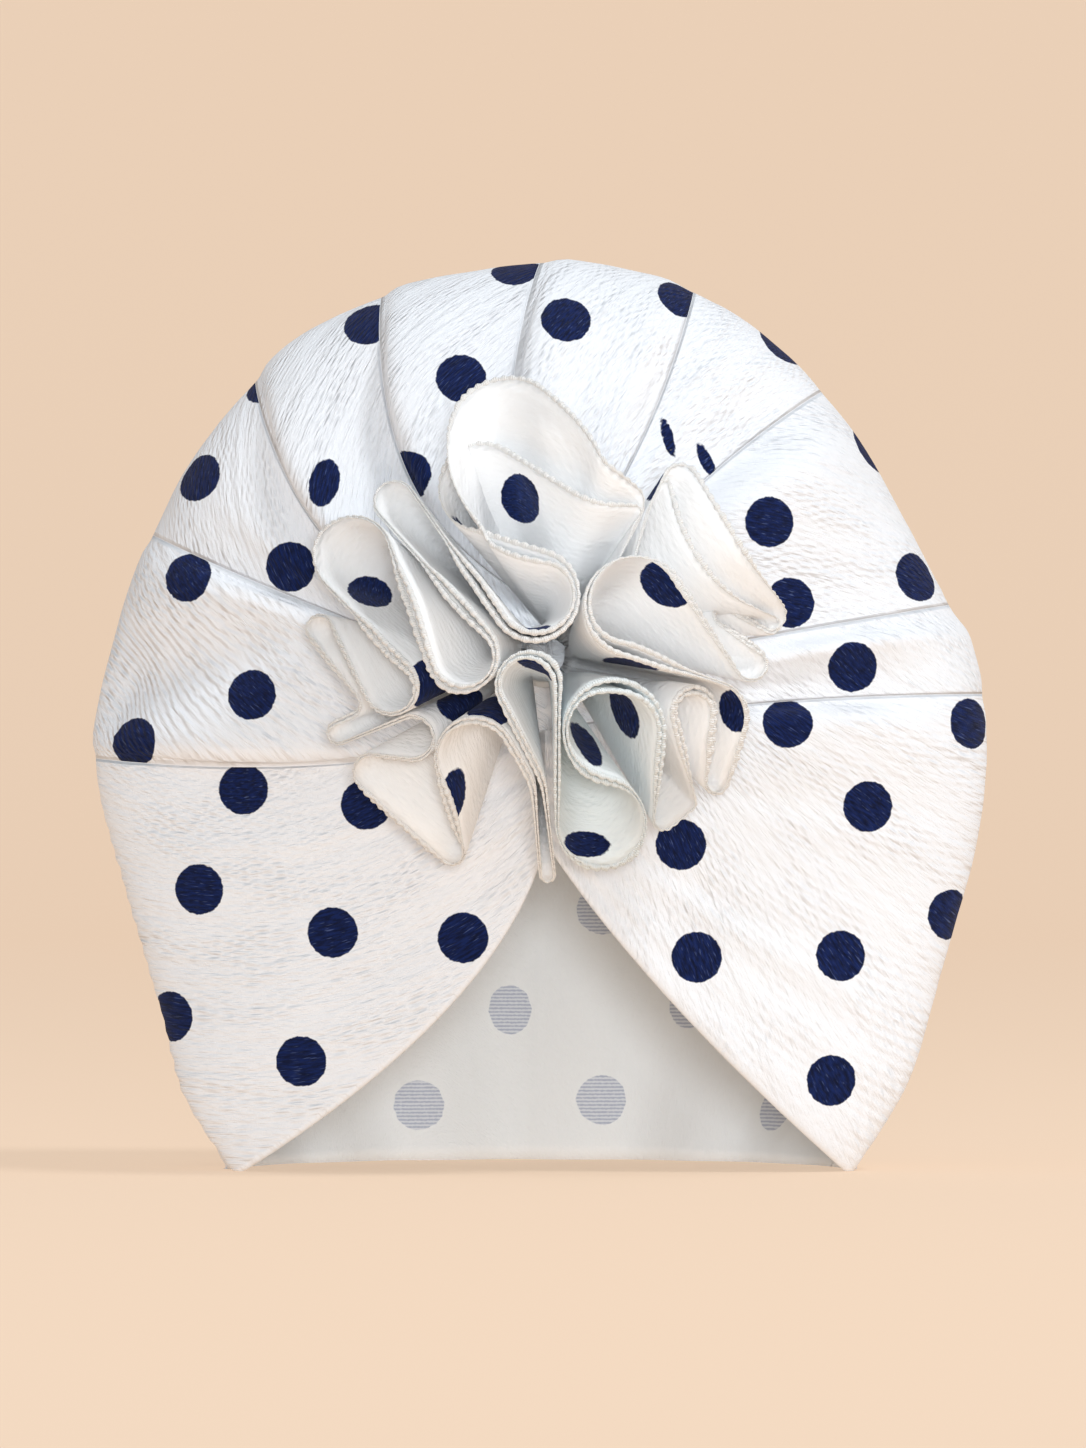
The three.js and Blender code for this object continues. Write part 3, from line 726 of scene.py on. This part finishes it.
def add_rim(points, values, faces, outer, inner, round_it, printed):
    """The folded edge: down the left flap, round the hem and up the right flap."""
    n, m = outer.shape[:2]
    path = [(0, k) for k in range(m - 1)] + [(j, m - 1) for j in range(n)]
    path += [(n - 1, k) for k in range(m - 2, -1, -1)]
    j, k = np.array(path).T
    outward = np.where((j == 0)[:, None], -round_it[j, k], round_it[j, k])
    outward[k == m - 1] = (0, 0, 0)
    rows = rim_between(outer[j, k], inner[j, k], outward)
    ids = [j * m + k]
    start = sum(len(block) for block in points)
    for row in rows:
        row[:, 2] = np.maximum(row[:, 2], 0)
        points.append(row)
        ids.append(np.arange(start, start + len(row)))
        start += len(row)
        for key, data in printed.items():
            values[key].append(data[j, k])
        values["inside"].append(np.zeros(len(row)))
    ids.append(n * m + j * m + k)
    for upper, lower in zip(ids[:-1], ids[1:]):
        for i in range(len(path) - 1):
            face = list(dict.fromkeys([upper[i], upper[i + 1], lower[i + 1], lower[i]]))
            faces.append([int(v) for v in face])


# The flower's strip

def heading(a, b):
    """The heading of the straight run between two turns, which touches both."""
    dx = b[T_ACROSS] - a[T_ACROSS]
    dz = b[T_UP] - a[T_UP]
    cross = (a[T_WAY] * a[T_BEND] - b[T_WAY] * b[T_BEND]) / math.hypot(dx, dz)
    return math.atan2(dz, dx) + math.asin(max(-1, min(1, cross)))


def edge_path():
    """The flower's free edge: across, up in flower radii, and its place among the turns."""
    count = len(TURNS)
    headings = [heading(TURNS[k], TURNS[(k + 1) % count]) for k in range(count)]
    points = []
    for k, turn in enumerate(TURNS):
        start = headings[k - 1]
        way, bend = turn[T_WAY], turn[T_BEND]
        angle = ((headings[k] - start) * way) % (2 * math.pi)
        steps = max(TURN_LEAST, round(angle * bend * FLOWER_RADIUS / EDGE_STEP))
        for i in range(steps + 1):
            h = start + way * angle * i / steps
            x = turn[T_ACROSS] + way * bend * math.sin(h)
            z = turn[T_UP] - way * bend * math.cos(h)
            points.append((x, z, k + 0.5 * (i / steps - 0.5)))
    return split_runs(points)


def split_runs(points):
    fine = []
    for k, (x, z, place) in enumerate(points):
        next_x, next_z, next_place = points[(k + 1) % len(points)]
        if k == len(points) - 1:
            next_place += len(TURNS)
        run = math.hypot(next_x - x, next_z - z) * FLOWER_RADIUS
        pieces = max(1, round(run / EDGE_STEP))
        for i in range(pieces):
            s = i / pieces
            fine.append((x + (next_x - x) * s, z + (next_z - z) * s, place + (next_place - place) * s))
    return np.array(fine)


def turn_value(column, place):
    count = len(TURNS)
    k = np.floor(place).astype(int)
    s = ease(place - k)
    a = TURNS[k % count, column]
    b = TURNS[(k + 1) % count, column]
    return a + (b - a) * s


def turn_value_by_length(column, path):
    """A turn's value, eased over the length of edge between neighbouring turns."""
    count = len(TURNS)
    lengths, total = loop_lengths(path[:, :2])
    places = np.concatenate([path[:, 2] - count, path[:, 2], path[:, 2] + count])
    loops = np.concatenate([lengths - total, lengths, lengths + total])
    stops = np.interp(np.arange(-1, count + 2), places, loops)
    k = np.clip(np.searchsorted(stops, lengths, side="right") - 1, 0, count + 1)
    s = ease((lengths - stops[k]) / (stops[k + 1] - stops[k]))
    values = TURNS[:, column]
    return values[(k - 1) % count] * (1 - s) + values[k % count] * s


def loop_lengths(points):
    """Lengths along a closed loop up to each point, and its whole length."""
    steps = np.linalg.norm(np.roll(points, -1, axis=0) - points, axis=1)
    total = steps.sum()
    return np.concatenate([[0], np.cumsum(steps)[:-1]]), total


def root_angles(path):
    """Where round the root each edge point is gathered."""
    full = 2 * math.pi
    angles = np.unwrap(np.arctan2(path[:, 1], path[:, 0]))
    before = np.maximum.accumulate(angles)
    later_top = np.append(np.maximum.accumulate(angles[::-1])[::-1][1:], -np.inf) - full
    before = np.maximum(before, later_top)
    after = np.minimum.accumulate(angles[::-1])[::-1]
    earlier_low = np.append(np.inf, np.minimum.accumulate(angles)[:-1]) + full
    after = np.minimum(after, earlier_low)
    ordered = (before + after) / 2
    lengths, total = loop_lengths(path[:, :2])
    even = full * lengths / total
    shift = np.mean(ordered - even)
    return (1 - ROOT_EVEN) * ordered + ROOT_EVEN * (even + shift)


def strip_level(path, angles, rise):
    """One level of the strip's middle surface, in its own plane and in front of it."""
    root = np.stack([np.cos(angles), np.sin(angles), np.zeros(len(angles))], axis=-1) * ROOT_RADIUS
    radius = np.hypot(path[:, 0], path[:, 1])
    dome = 1 - np.minimum(radius / DOME_REACH, DOME_LEAST) ** 2
    height = FLOWER_DEPTH * (dome + turn_value(T_LIFT, path[:, 2]))
    edge = np.stack([path[:, 0] * FLOWER_RADIUS, path[:, 1] * FLOWER_RADIUS, height], axis=-1)
    arch = root + (edge - root) * PETAL_SPREAD
    arch[:, 2] = PETAL_FOLLOW * height + PETAL_ARCH * FLOWER_DEPTH
    return (1 - rise) ** 2 * root + 2 * rise * (1 - rise) * arch + rise * rise * edge


def room_at(level):
    """Half of the free room beside each point of a level, where the strip folds back past itself."""
    lengths, total = loop_lengths(level)
    along = np.abs(lengths[:, None] - lengths[None, :])
    along = np.minimum(along, total - along)
    apart = np.hypot(level[:, None, 0] - level[None, :, 0], level[:, None, 1] - level[None, :, 1])
    apart = np.where(along > FOLDED_BACK * apart, apart, np.inf)
    room = np.minimum(apart.min(axis=1), 2 * ROOT_RADIUS)
    shifts = range(-ROOM_EVENED, ROOM_EVENED + 1)
    least = np.min([np.roll(room, k) for k in shifts], axis=0)
    return np.mean([np.roll(least, k) for k in shifts], axis=0)


def strip_surface():
    path = edge_path()
    angles = root_angles(path)
    rises = np.linspace(0, 1, PLY_LEVELS)
    levels = np.array([strip_level(path, angles, rise) for rise in rises])
    step = 0.02
    normals = []
    ups = []
    for level, rise in zip(levels, rises):
        above = strip_level(path, angles, min(rise + step, 1))
        up = above - strip_level(path, angles, max(rise - step, 0))
        normal = np.cross(np.roll(level, -1, axis=0) - np.roll(level, 1, axis=0), up)
        if rise == 0:
            normal[:, 2] = 0
        normals.append(unit(normal))
        ups.append(unit(up))
    rooms = np.array([room_at(level) for level in levels])
    return {"path": path, "rises": rises, "levels": levels, "normals": np.array(normals),
            "ups": np.array(ups), "rooms": rooms}


def ply_distances(strip, side):
    """How far from the strip's middle surface the two faces of a ply lie."""
    room = CROWD * strip["rooms"]
    squeeze = np.minimum(1, room / (PLY_GAP / 2 + PLY_WALL))
    wall = PLY_WALL * squeeze
    near = PLY_GAP / 2 * squeeze
    if side > 0:
        stand = turn_value_by_length(T_STAND, strip["path"])[None, :]
        slack = stand * FLOWER_RADIUS * strip["rises"][:, None] ** 2
        near = near + np.minimum(slack, np.maximum(room - wall - PLY_GAP / 2, 0))
    return near, wall


def lean_away(strip):
    """How far the back ply leans away from the front ply where there is open air behind it."""
    place = strip["path"][:, 2]
    lengths, _ = loop_lengths(strip["path"][:, :2])
    away = np.zeros(strip["levels"].shape)
    for first, last, stand, direction in OPEN_PARTS:
        start, end = np.interp([first, last], place, lengths)
        share = np.clip((lengths - start) / (end - start), 0, 1)
        reach = stand * FLOWER_RADIUS * np.sin(math.pi * share) ** LEAN_ROUNDNESS
        away[..., :2] += (strip["rises"][:, None] ** 2 * reach)[..., None] * direction
    return away


def flower_to_part(points):
    """From the flower's own plane to the formulas' frame."""
    seat = -(FRONT_DEPTH + SEAT_GAP)
    across, up, forward = np.moveaxis(points, -1, 0)
    return np.stack([across + SEAM_ACROSS, seat - forward, up + FLOWER_UP], axis=-1)


# Crumpling of a ply: height, length along the edge, waves from root to edge. CRUMPLE_MOST is the room
# in millimetres that it fills at most, and each side has its own seed.
CRUMPLE_WAVES = [(0.35, 7, 2.2), (0.16, 2.6, 1.2)]
CRUMPLE_MOST = 0.35
CRUMPLE_SEEDS = {1: 51, -1: 61}


def ply_crumple(strip, seed):
    """Small waves of the ply, which grow towards its free edge."""
    lengths, _ = loop_lengths(strip["levels"][-1])
    rise = strip["rises"][:, None]
    waves = [
        noise_plane(lengths[None, :] / length, rise * count, seed + k) * height
        for k, (height, length, count) in enumerate(CRUMPLE_WAVES)
    ]
    return sum(waves) * rise


def flower_dot_fields(plies, lengths, total):
    """Distance to the nearest dot's edge on each ply's printed face. A dot lies on the ply in front."""
    fields = [np.full(points.shape[:2], FAR_FROM_DOTS) for points in plies]
    views = [seen_from_front(points) for points in plies]
    for across, up, wide, tall, lean in FLOWER_DOTS:
        depths = []
        for points, (x, z) in zip(plies, views):
            gap = np.hypot(x - across, z - up)
            depths.append(points[..., 1] + np.where(gap < DOT_PICK, 0, OUT_OF_SIGHT))
        ply = int(np.argmin([depth.min() for depth in depths]))
        index = np.unravel_index(np.argmin(depths[ply]), depths[ply].shape)
        apart = np.abs(lengths - lengths[index[1]])
        near = np.minimum(apart, total - apart) < DOT_WRAP * DOT_RADIUS
        distance = dot_distance(plies[ply], plies[ply][index], wide, tall, lean)
        fields[ply] = np.where(near[None, :], np.minimum(fields[ply], distance), fields[ply])
    return fields


def ply_faces(strip, side):
    """The two faces of a ply, and its middle line along the free edge."""
    near, wall = ply_distances(strip, side)
    room = np.clip(CROWD * strip["rooms"] - near - wall, 0, CRUMPLE_MOST)
    crumple = ply_crumple(strip, CRUMPLE_SEEDS[side]) * room
    normals = strip["normals"] * side
    base = strip["levels"] + (lean_away(strip) if side > 0 else 0)
    inner = base + normals * (near + crumple)[..., None]
    outer = base + normals * (near + crumple + wall)[..., None]
    middle = base[-1] + normals[-1] * (near + crumple + wall / 2)[-1][:, None]
    return flower_to_part(inner), flower_to_part(outer), middle, wall[-1]


def ruffle_ply(name, strip, side, inner, outer, dots):
    """One ply of the strip. side +1 is the back ply and -1 the front ply."""
    lengths, _ = loop_lengths(strip["levels"][-1])
    heights = np.linalg.norm(np.diff(strip["levels"], axis=0), axis=-1)
    rows, count = dots.shape
    faces = []
    for r, k in itertools.product(range(rows - 1), range(count)):
        a, b = r * count + k, r * count + (k + 1) % count
        c, d = b + count, a + count
        faces.append([a, d, c, b])
        faces.append([v + dots.size for v in (a, b, c, d)])
    for r, k in itertools.product((0, rows - 1), range(count)):
        a, b = r * count + k, r * count + (k + 1) % count
        rim = [a, b, b + dots.size, a + dots.size]
        faces.append(rim if r == 0 else rim[::-1])
    if side < 0:
        faces = [face[::-1] for face in faces]
    both = {
        "dot": np.concatenate([np.full(dots.size, FAR_FROM_DOTS), dots.ravel()]),
        "grain_a": np.tile(lengths, 2 * rows),
        "grain_b": np.tile(np.concatenate([np.zeros(count), np.cumsum(heights, axis=0).ravel()]), 2),
        # The cloth round the lower petals gets painted blue-grey shade
        "painted_shade": np.tile(painted_fold_shade(strip["path"][:, 2]), 2 * rows),
    }
    return make_mesh(name, np.concatenate([inner.reshape(-1, 3), outer.reshape(-1, 3)]), faces, both)


# The turn round which the cloth is painted blue-grey as shade, and over how many turns that painted shade
# fades
PAINTED_SHADE_TURN = 20.4
PAINTED_SHADE_REACH = 2.6


def painted_fold_shade(place):
    """How much painted blue-grey shade the cloth gets: the lower petals lie over the shaded ones."""
    return ease(1 - np.abs(place - PAINTED_SHADE_TURN) / PAINTED_SHADE_REACH)


# The rolled overlocked edge
BEAD_RADIUS = 0.54
BEAD_SIDES = 8
SCALLOP_LENGTH = 2.0
BEAD_STEP = 0.5
BEAD_UNEVEN_LENGTH = 3.1
BEAD_RADIUS_PARTS = (0.72, 0.45, 0.12)
BEAD_LIFT_PARTS = (0.25, 0.1)
BEAD_LEAST = 0.3
BEAD_UPRIGHT = 1.15


def edge_bead(name, strip, middle, wall, side):
    """A lumpy stitched bead along a ply's free edge."""
    lengths, total = loop_lengths(middle)
    count = int(total / BEAD_STEP)
    at = np.arange(count) * total / count
    around = np.append(lengths, total)

    def along_edge(values):
        closed = np.concatenate([values, values[:1]])
        return np.stack([np.interp(at, around, closed[:, i]) for i in range(closed.shape[1])], axis=-1)

    centre = along_edge(middle)
    up = unit(along_edge(strip["ups"][-1]))
    out = unit(along_edge(strip["normals"][-1])) * side
    share = along_edge(wall[:, None])[:, 0] / PLY_WALL
    uneven = noise_plane(at / BEAD_UNEVEN_LENGTH, 0.0, 71 + side)
    phase = math.pi * (at + 0.8 * uneven) / SCALLOP_LENGTH
    scallop = np.abs(np.sin(phase))
    plain, lobed, rough = BEAD_RADIUS_PARTS
    radius = BEAD_RADIUS * (plain + lobed * scallop + rough * uneven) * np.clip(share, BEAD_LEAST, 1)
    centre = centre + up * (BEAD_LIFT_PARTS[0] * scallop + BEAD_LIFT_PARTS[1] * uneven)[:, None]
    rings = []
    for k in range(BEAD_SIDES):
        turn = 2 * math.pi * k / BEAD_SIDES
        arm = up * math.cos(turn) * BEAD_UPRIGHT + out * math.sin(turn)
        rings.append(centre + arm * radius[:, None])
    points = flower_to_part(np.array(rings)).reshape(-1, 3)
    faces = []
    for k, i in itertools.product(range(BEAD_SIDES), range(count)):
        ring, next_ring, next_i = k * count, (k + 1) % BEAD_SIDES * count, (i + 1) % count
        face = [ring + i, ring + next_i, next_ring + next_i, next_ring + i]
        faces.append(face if side < 0 else face[::-1])
    place = np.interp(at, around, np.append(strip["path"][:, 2], strip["path"][0, 2] + len(TURNS)))
    values = {
        "grain_a": np.tile(at, BEAD_SIDES),
        "grain_b": np.repeat(np.arange(BEAD_SIDES) * 0.5, count),
        # The thread round the lower petals gets the same painted blue-grey shade
        "painted_shade": np.tile(painted_fold_shade(place), BEAD_SIDES),
    }
    return make_mesh(name, points, faces, values)


# Materials
CLOTH_WHITE = (0.892, 0.912, 0.95)
RUFFLE_WHITE = (0.975, 0.98, 0.985)
# Painted blue-grey shade for the lower petals and the thread along their edge
RUFFLE_PAINTED_SHADE = (0.80, 0.91, 0.95)
NAVY = (0.0026, 0.0086, 0.050)
NAVY_FLECK = (0.10, 0.14, 0.30)
INSIDE_WHITE = (0.93, 0.97, 1.0)
SHOW_THROUGH = (0.30, 0.36, 0.54)
THREAD_WHITE = (0.91, 0.9, 0.88)
THREAD_SHADE = (0.70, 0.70, 0.70)
THREAD_PITCH = 0.45
RIPPLE_BUMP = 0.75
BUMP_LONG = 4.4
BUMP_WIDE = 1.5
INSIDE_ROW = 0.72
# How deep each cloth's fine relief is, in metres
CAP_RELIEF = 0.00036
RUFFLE_RELIEF = 0.00018
THREAD_RELIEF = 0.00012


def fill(node, values):
    for key, value in values.items():
        node.inputs[key].default_value = value


class Shader:
    """Short names for building one material's nodes."""

    def __init__(self, name, roughness, sheen):
        self.material = bpy.data.materials.new(name)
        self.material.use_nodes = True
        self.nodes = self.material.node_tree.nodes
        self.principled = self.nodes["Principled BSDF"]
        fill(self.principled, {
            "Roughness": roughness,
            "Sheen Weight": sheen,
            "Sheen Roughness": 0.6,
            "Specular IOR Level": 0.15,
        })
        self.a, self.b = self.value("grain_a"), self.value("grain_b")
        place = self.node("ShaderNodeTexCoord").outputs["Object"]
        scaled = self.node("ShaderNodeVectorMath", {0: place, "Scale": 1 / MM}, operation="SCALE")
        self.place = scaled.outputs[0]

    def node(self, kind, inputs=None, **settings):
        made = self.nodes.new(kind)
        for key, value in settings.items():
            setattr(made, key, value)
        for key, value in (inputs or {}).items():
            self.set(made.inputs[key], value)
        return made

    def set(self, socket, value):
        """Links a socket, or sets it to a number or a colour."""
        if isinstance(value, bpy.types.NodeSocket):
            self.material.node_tree.links.new(value, socket)
        else:
            socket.default_value = (*value, 1) if isinstance(value, tuple) else value

    def value(self, name):
        return self.node("ShaderNodeAttribute", attribute_name=name).outputs["Fac"]

    def math(self, operation, *values):
        return self.node("ShaderNodeMath", dict(enumerate(values)), operation=operation).outputs[0]

    def times(self, *values):
        """The first value times the second, plus the third if there is one."""
        return self.math("MULTIPLY" if len(values) == 2 else "MULTIPLY_ADD", *values)

    def step(self, value, low, high):
        """From 0 at low to 1 at high, smoothly."""
        inputs = {"Value": value, "From Min": low, "From Max": high}
        return self.node("ShaderNodeMapRange", inputs, interpolation_type="SMOOTHSTEP").outputs["Result"]

    def blend(self, factor, a, b):
        return self.node("ShaderNodeMix", {0: factor, 6: a, 7: b}, data_type="RGBA").outputs[2]

    def plane(self, a, b, scale_a, scale_b):
        """A place on the cloth from its two lengths, each divided by a size in millimetres."""
        inputs = {0: self.math("DIVIDE", a, scale_a), 1: self.math("DIVIDE", b, scale_b)}
        return self.node("ShaderNodeCombineXYZ", inputs).outputs[0]

    def noise(self, place, detail, scale=1.0):
        inputs = {"Vector": place, "Scale": scale, "Detail": detail}
        return self.node("ShaderNodeTexNoise", inputs, noise_dimensions="3D").outputs["Fac"]

    def cloth_noise(self, size_a, size_b, detail=2.0):
        """Noise on the cloth, with its sizes in millimetres along the knit's rows and across them."""
        return self.noise(self.plane(self.a, self.b, size_a, size_b), detail)

    def bump(self, height, distance, strength):
        bump = self.node("ShaderNodeBump", {"Strength": strength, "Distance": distance, "Height": height})
        self.set(self.principled.inputs["Normal"], bump.outputs["Normal"])

    def colour(self, socket):
        self.set(self.principled.inputs["Base Color"], socket)

    def let_light_through(self, weight, depth):
        """Lets light soak through thin white cloth, over a depth in millimetres."""
        fill(self.principled, {
            "Subsurface Weight": weight,
            "Subsurface Radius": (1, 1, 1),
            "Subsurface Scale": depth * MM,
        })


def knit_height(shader):
    """Fine streaks along the knit's rows with longer raised dashes, softened and made uneven."""
    warp = shader.times(shader.cloth_noise(9, 5, 1.0), 5.0)
    wave_a = shader.math("COSINE", shader.times(shader.a, 2 * math.pi / BUMP_LONG, warp))
    wave_b = shader.math("COSINE", shader.times(shader.b, 2 * math.pi / BUMP_WIDE, warp))
    ovals = shader.times(wave_a, wave_b)
    strength = shader.step(shader.cloth_noise(22, 9, 1.0), 0.35, 0.7)
    ovals = shader.times(ovals, shader.times(strength, 0.5, 0.12))
    dashes = shader.cloth_noise(6.0, 0.75)
    threads = shader.cloth_noise(1.8, 0.3)
    fuzz = shader.noise(shader.place, 2.0, 3.2)
    furrows = shader.cloth_noise(26, 2.6, 1.0)
    dashes = shader.times(dashes, shader.times(strength, 1.3, 1.1))
    height = shader.times(dashes, 1.1, ovals)
    height = shader.times(furrows, 3.4, height)
    height = shader.times(threads, 0.9, height)
    return shader.times(fuzz, 0.3, height)


def dot_mask(shader):
    """1 inside a printed dot, with a slightly uneven edge."""
    uneven = shader.times(shader.noise(shader.place, 2.0, 0.9), 0.5, -0.25)
    distance = shader.math("ADD", shader.value("dot"), uneven)
    return shader.math("SUBTRACT", 1.0, shader.step(distance, -0.12, 0.12))


def navy_print(shader):
    """Navy ink with sparse light threads that the ink missed."""
    rows = shader.step(shader.cloth_noise(2.2, 0.32, 1.0), 0.62, 0.76)
    tone = shader.step(shader.cloth_noise(2.0, 0.45), 0.3, 0.7)
    deep = shader.blend(tone, tuple(0.6 * c for c in NAVY), tuple(1.9 * c for c in NAVY))
    return shader.blend(shader.times(rows, 0.55), deep, NAVY_FLECK)


def cap_material():
    shader = Shader("cap_knit_cloth", 0.9, 0.04)
    mask = dot_mask(shader)
    tone = shader.noise(shader.place, 3.0, 0.06)
    white = shader.blend(tone, CLOTH_WHITE, tuple(0.965 * c for c in CLOTH_WHITE))
    outside = shader.blend(mask, white, navy_print(shader))
    inside = shader.value("inside")
    parts = shader.node("ShaderNodeSeparateXYZ", {0: shader.place})
    across, up = parts.outputs["X"], parts.outputs["Z"]
    rows = shader.math("SINE", shader.times(up, 2 * math.pi / INSIDE_ROW))
    breaks = shader.noise(shader.plane(across, up, 0.6, INSIDE_ROW * 0.8), 1.0)
    dashes = shader.step(shader.times(breaks, 2.4, rows), 0.7, 2.0)
    faint = shader.times(mask, shader.times(dashes, 0.42, 0.28))
    inner = shader.blend(faint, INSIDE_WHITE, SHOW_THROUGH)
    shader.colour(shader.blend(inside, outside, inner))
    ripple = shader.math("SINE", shader.times(shader.value("ripple"), 2 * math.pi))
    ripple = shader.times(ripple, shader.times(shader.value("ripple_share"), RIPPLE_BUMP))
    knit = shader.times(knit_height(shader), shader.value("knit_share"))
    outer_height = shader.math("ADD", knit, ripple)
    grid = shader.times(shader.cloth_noise(0.9, 0.35), 0.6)
    height = shader.node("ShaderNodeMix", {0: inside, 2: outer_height, 3: grid}, data_type="FLOAT")
    shader.bump(height.outputs[0], CAP_RELIEF, 0.8)
    return shader.material


def ruffle_material():
    shader = Shader("ruffle_knit_cloth", 0.9, 0.04)
    mask = dot_mask(shader)
    # Painted shade: the white turns blue-grey round the lower petals
    white = shader.blend(shader.times(shader.value("painted_shade"), 0.75), RUFFLE_WHITE, RUFFLE_PAINTED_SHADE)
    shader.colour(shader.blend(mask, white, navy_print(shader)))
    shader.bump(knit_height(shader), RUFFLE_RELIEF, 0.6)
    shader.let_light_through(0.4, 2.5)
    return shader.material


def edge_material():
    shader = Shader("overlock_thread", 0.85, 0.05)
    # Painted shade: the thread turns blue-grey round the lower petals
    white = shader.blend(shader.times(shader.value("painted_shade"), 0.7), THREAD_WHITE, RUFFLE_PAINTED_SHADE)
    shade = shader.cloth_noise(0.5, 0.8)
    shader.colour(shader.blend(shader.times(shade, 0.3), white, THREAD_SHADE))
    threads = shader.math("SINE", shader.times(shader.a, 2 * math.pi / THREAD_PITCH))
    shader.bump(shader.times(shader.noise(shader.place, 2.0, 2.5), 0.8, threads), THREAD_RELIEF, 0.7)
    return shader.material


def give(piece, material):
    piece.data.materials.append(material)
    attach(piece, "root")


# Stage, light and camera
BACKDROP_COLOUR = (0.86, 0.665, 0.505)
PAPER_SHADE = 0.42
PAPER_GLOW = 0.66
STAGE_HALF_WIDTH = 4.0
STAGE_FRONT = -4.0
STAGE_BACK = 2.6
STAGE_TOP = 4.0
STAGE_BEND = 1.0
BEND_STEPS = 24
ROOM_COLOUR = (0.91, 0.96, 1.0)
ROOM_STRENGTH = 0.56
LIGHT_TARGET = (0, 0, 0.09)
# Round soft lights: name, place, size, power, colour
LIGHTS = [
    ("key", (1.05, -0.75, 1.9), 0.5, 20, (0.97, 0.985, 1.0)),
    ("front", (0.15, -3.2, 0.2), 0.7, 44, (0.90, 0.955, 1.0)),
]


def stage_floor():
    """A plain floor that curves up into a plain wall behind."""
    profile = [(STAGE_FRONT, 0.0)]
    for k in range(BEND_STEPS + 1):
        turn = math.pi / 2 * k / BEND_STEPS
        profile.append((STAGE_BACK + STAGE_BEND * math.sin(turn), STAGE_BEND * (1 - math.cos(turn))))
    profile.append((STAGE_BACK + STAGE_BEND, STAGE_TOP))
    points = [(x, y, z) for x in (-STAGE_HALF_WIDTH, STAGE_HALF_WIDTH) for y, z in profile]
    n = len(profile)
    faces = [[k, n + k, n + k + 1, k + 1] for k in range(n - 1)]
    floor = link_mesh("stage_floor", points, faces)
    material = bpy.data.materials.new("stage_paper")
    material.use_nodes = True
    fill(material.node_tree.nodes["Principled BSDF"], {
        "Base Color": (*[PAPER_SHADE * part for part in BACKDROP_COLOUR], 1),
        "Roughness": 0.95,
        "Specular IOR Level": 0.0,
        "Emission Color": (*BACKDROP_COLOUR, 1),
        "Emission Strength": PAPER_GLOW,
    })
    floor.data.materials.append(material)
    return floor


def area_light(name, place, size, power, colour):
    data = bpy.data.lights.new(name, "AREA")
    data.shape = "DISK"
    data.size = size
    data.energy = power
    data.color = colour
    light = link(bpy.data.objects.new(name, data))
    light.location = place
    light.rotation_euler = (Vector(LIGHT_TARGET) - Vector(place)).to_track_quat("-Z", "Y").to_euler()


def light_and_camera():
    for light in LIGHTS:
        area_light(*light)
    world = bpy.data.worlds.new("soft_room")
    world.use_nodes = True
    fill(world.node_tree.nodes["Background"], {"Color": (*ROOM_COLOUR, 1), "Strength": ROOM_STRENGTH})
    scene = bpy.context.scene
    scene.world = world
    scene.view_settings.view_transform = "Standard"
    data = bpy.data.cameras.new("camera")
    data.lens = CAMERA_LENS
    data.sensor_fit = "VERTICAL"
    data.sensor_height = SENSOR_LONG_SIDE
    camera = link(bpy.data.objects.new("camera", data))
    camera.location = (np.array(CAMERA_PLACE) + ORIGIN_SHIFT) * MM
    camera.rotation_euler = (math.pi / 2, 0, 0)
    scene.camera = camera


floor = stage_floor()
light_and_camera()

cap = cap_body()
give(cap, cap_material())
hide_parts("cap_body")

strip = strip_surface()
cloth = ruffle_material()
thread = edge_material()
sides = (-1, 1)
shapes = [ply_faces(strip, side) for side in sides]
edge_lengths, edge_total = loop_lengths(strip["levels"][-1])
dot_fields = flower_dot_fields([shape[1] for shape in shapes], edge_lengths, edge_total)
for node, side, shape, dots in zip(("ruffle_front_ply", "ruffle_back_ply"), sides, shapes, dot_fields):
    name = node.replace("ruffle", "petal")
    inner, outer, middle, wall = shape
    ply = ruffle_ply(name, strip, side, inner, outer, dots)
    edge = edge_bead(name + "_edge", strip, middle, wall, side)
    give(ply, cloth)
    give(edge, thread)
    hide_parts(node)
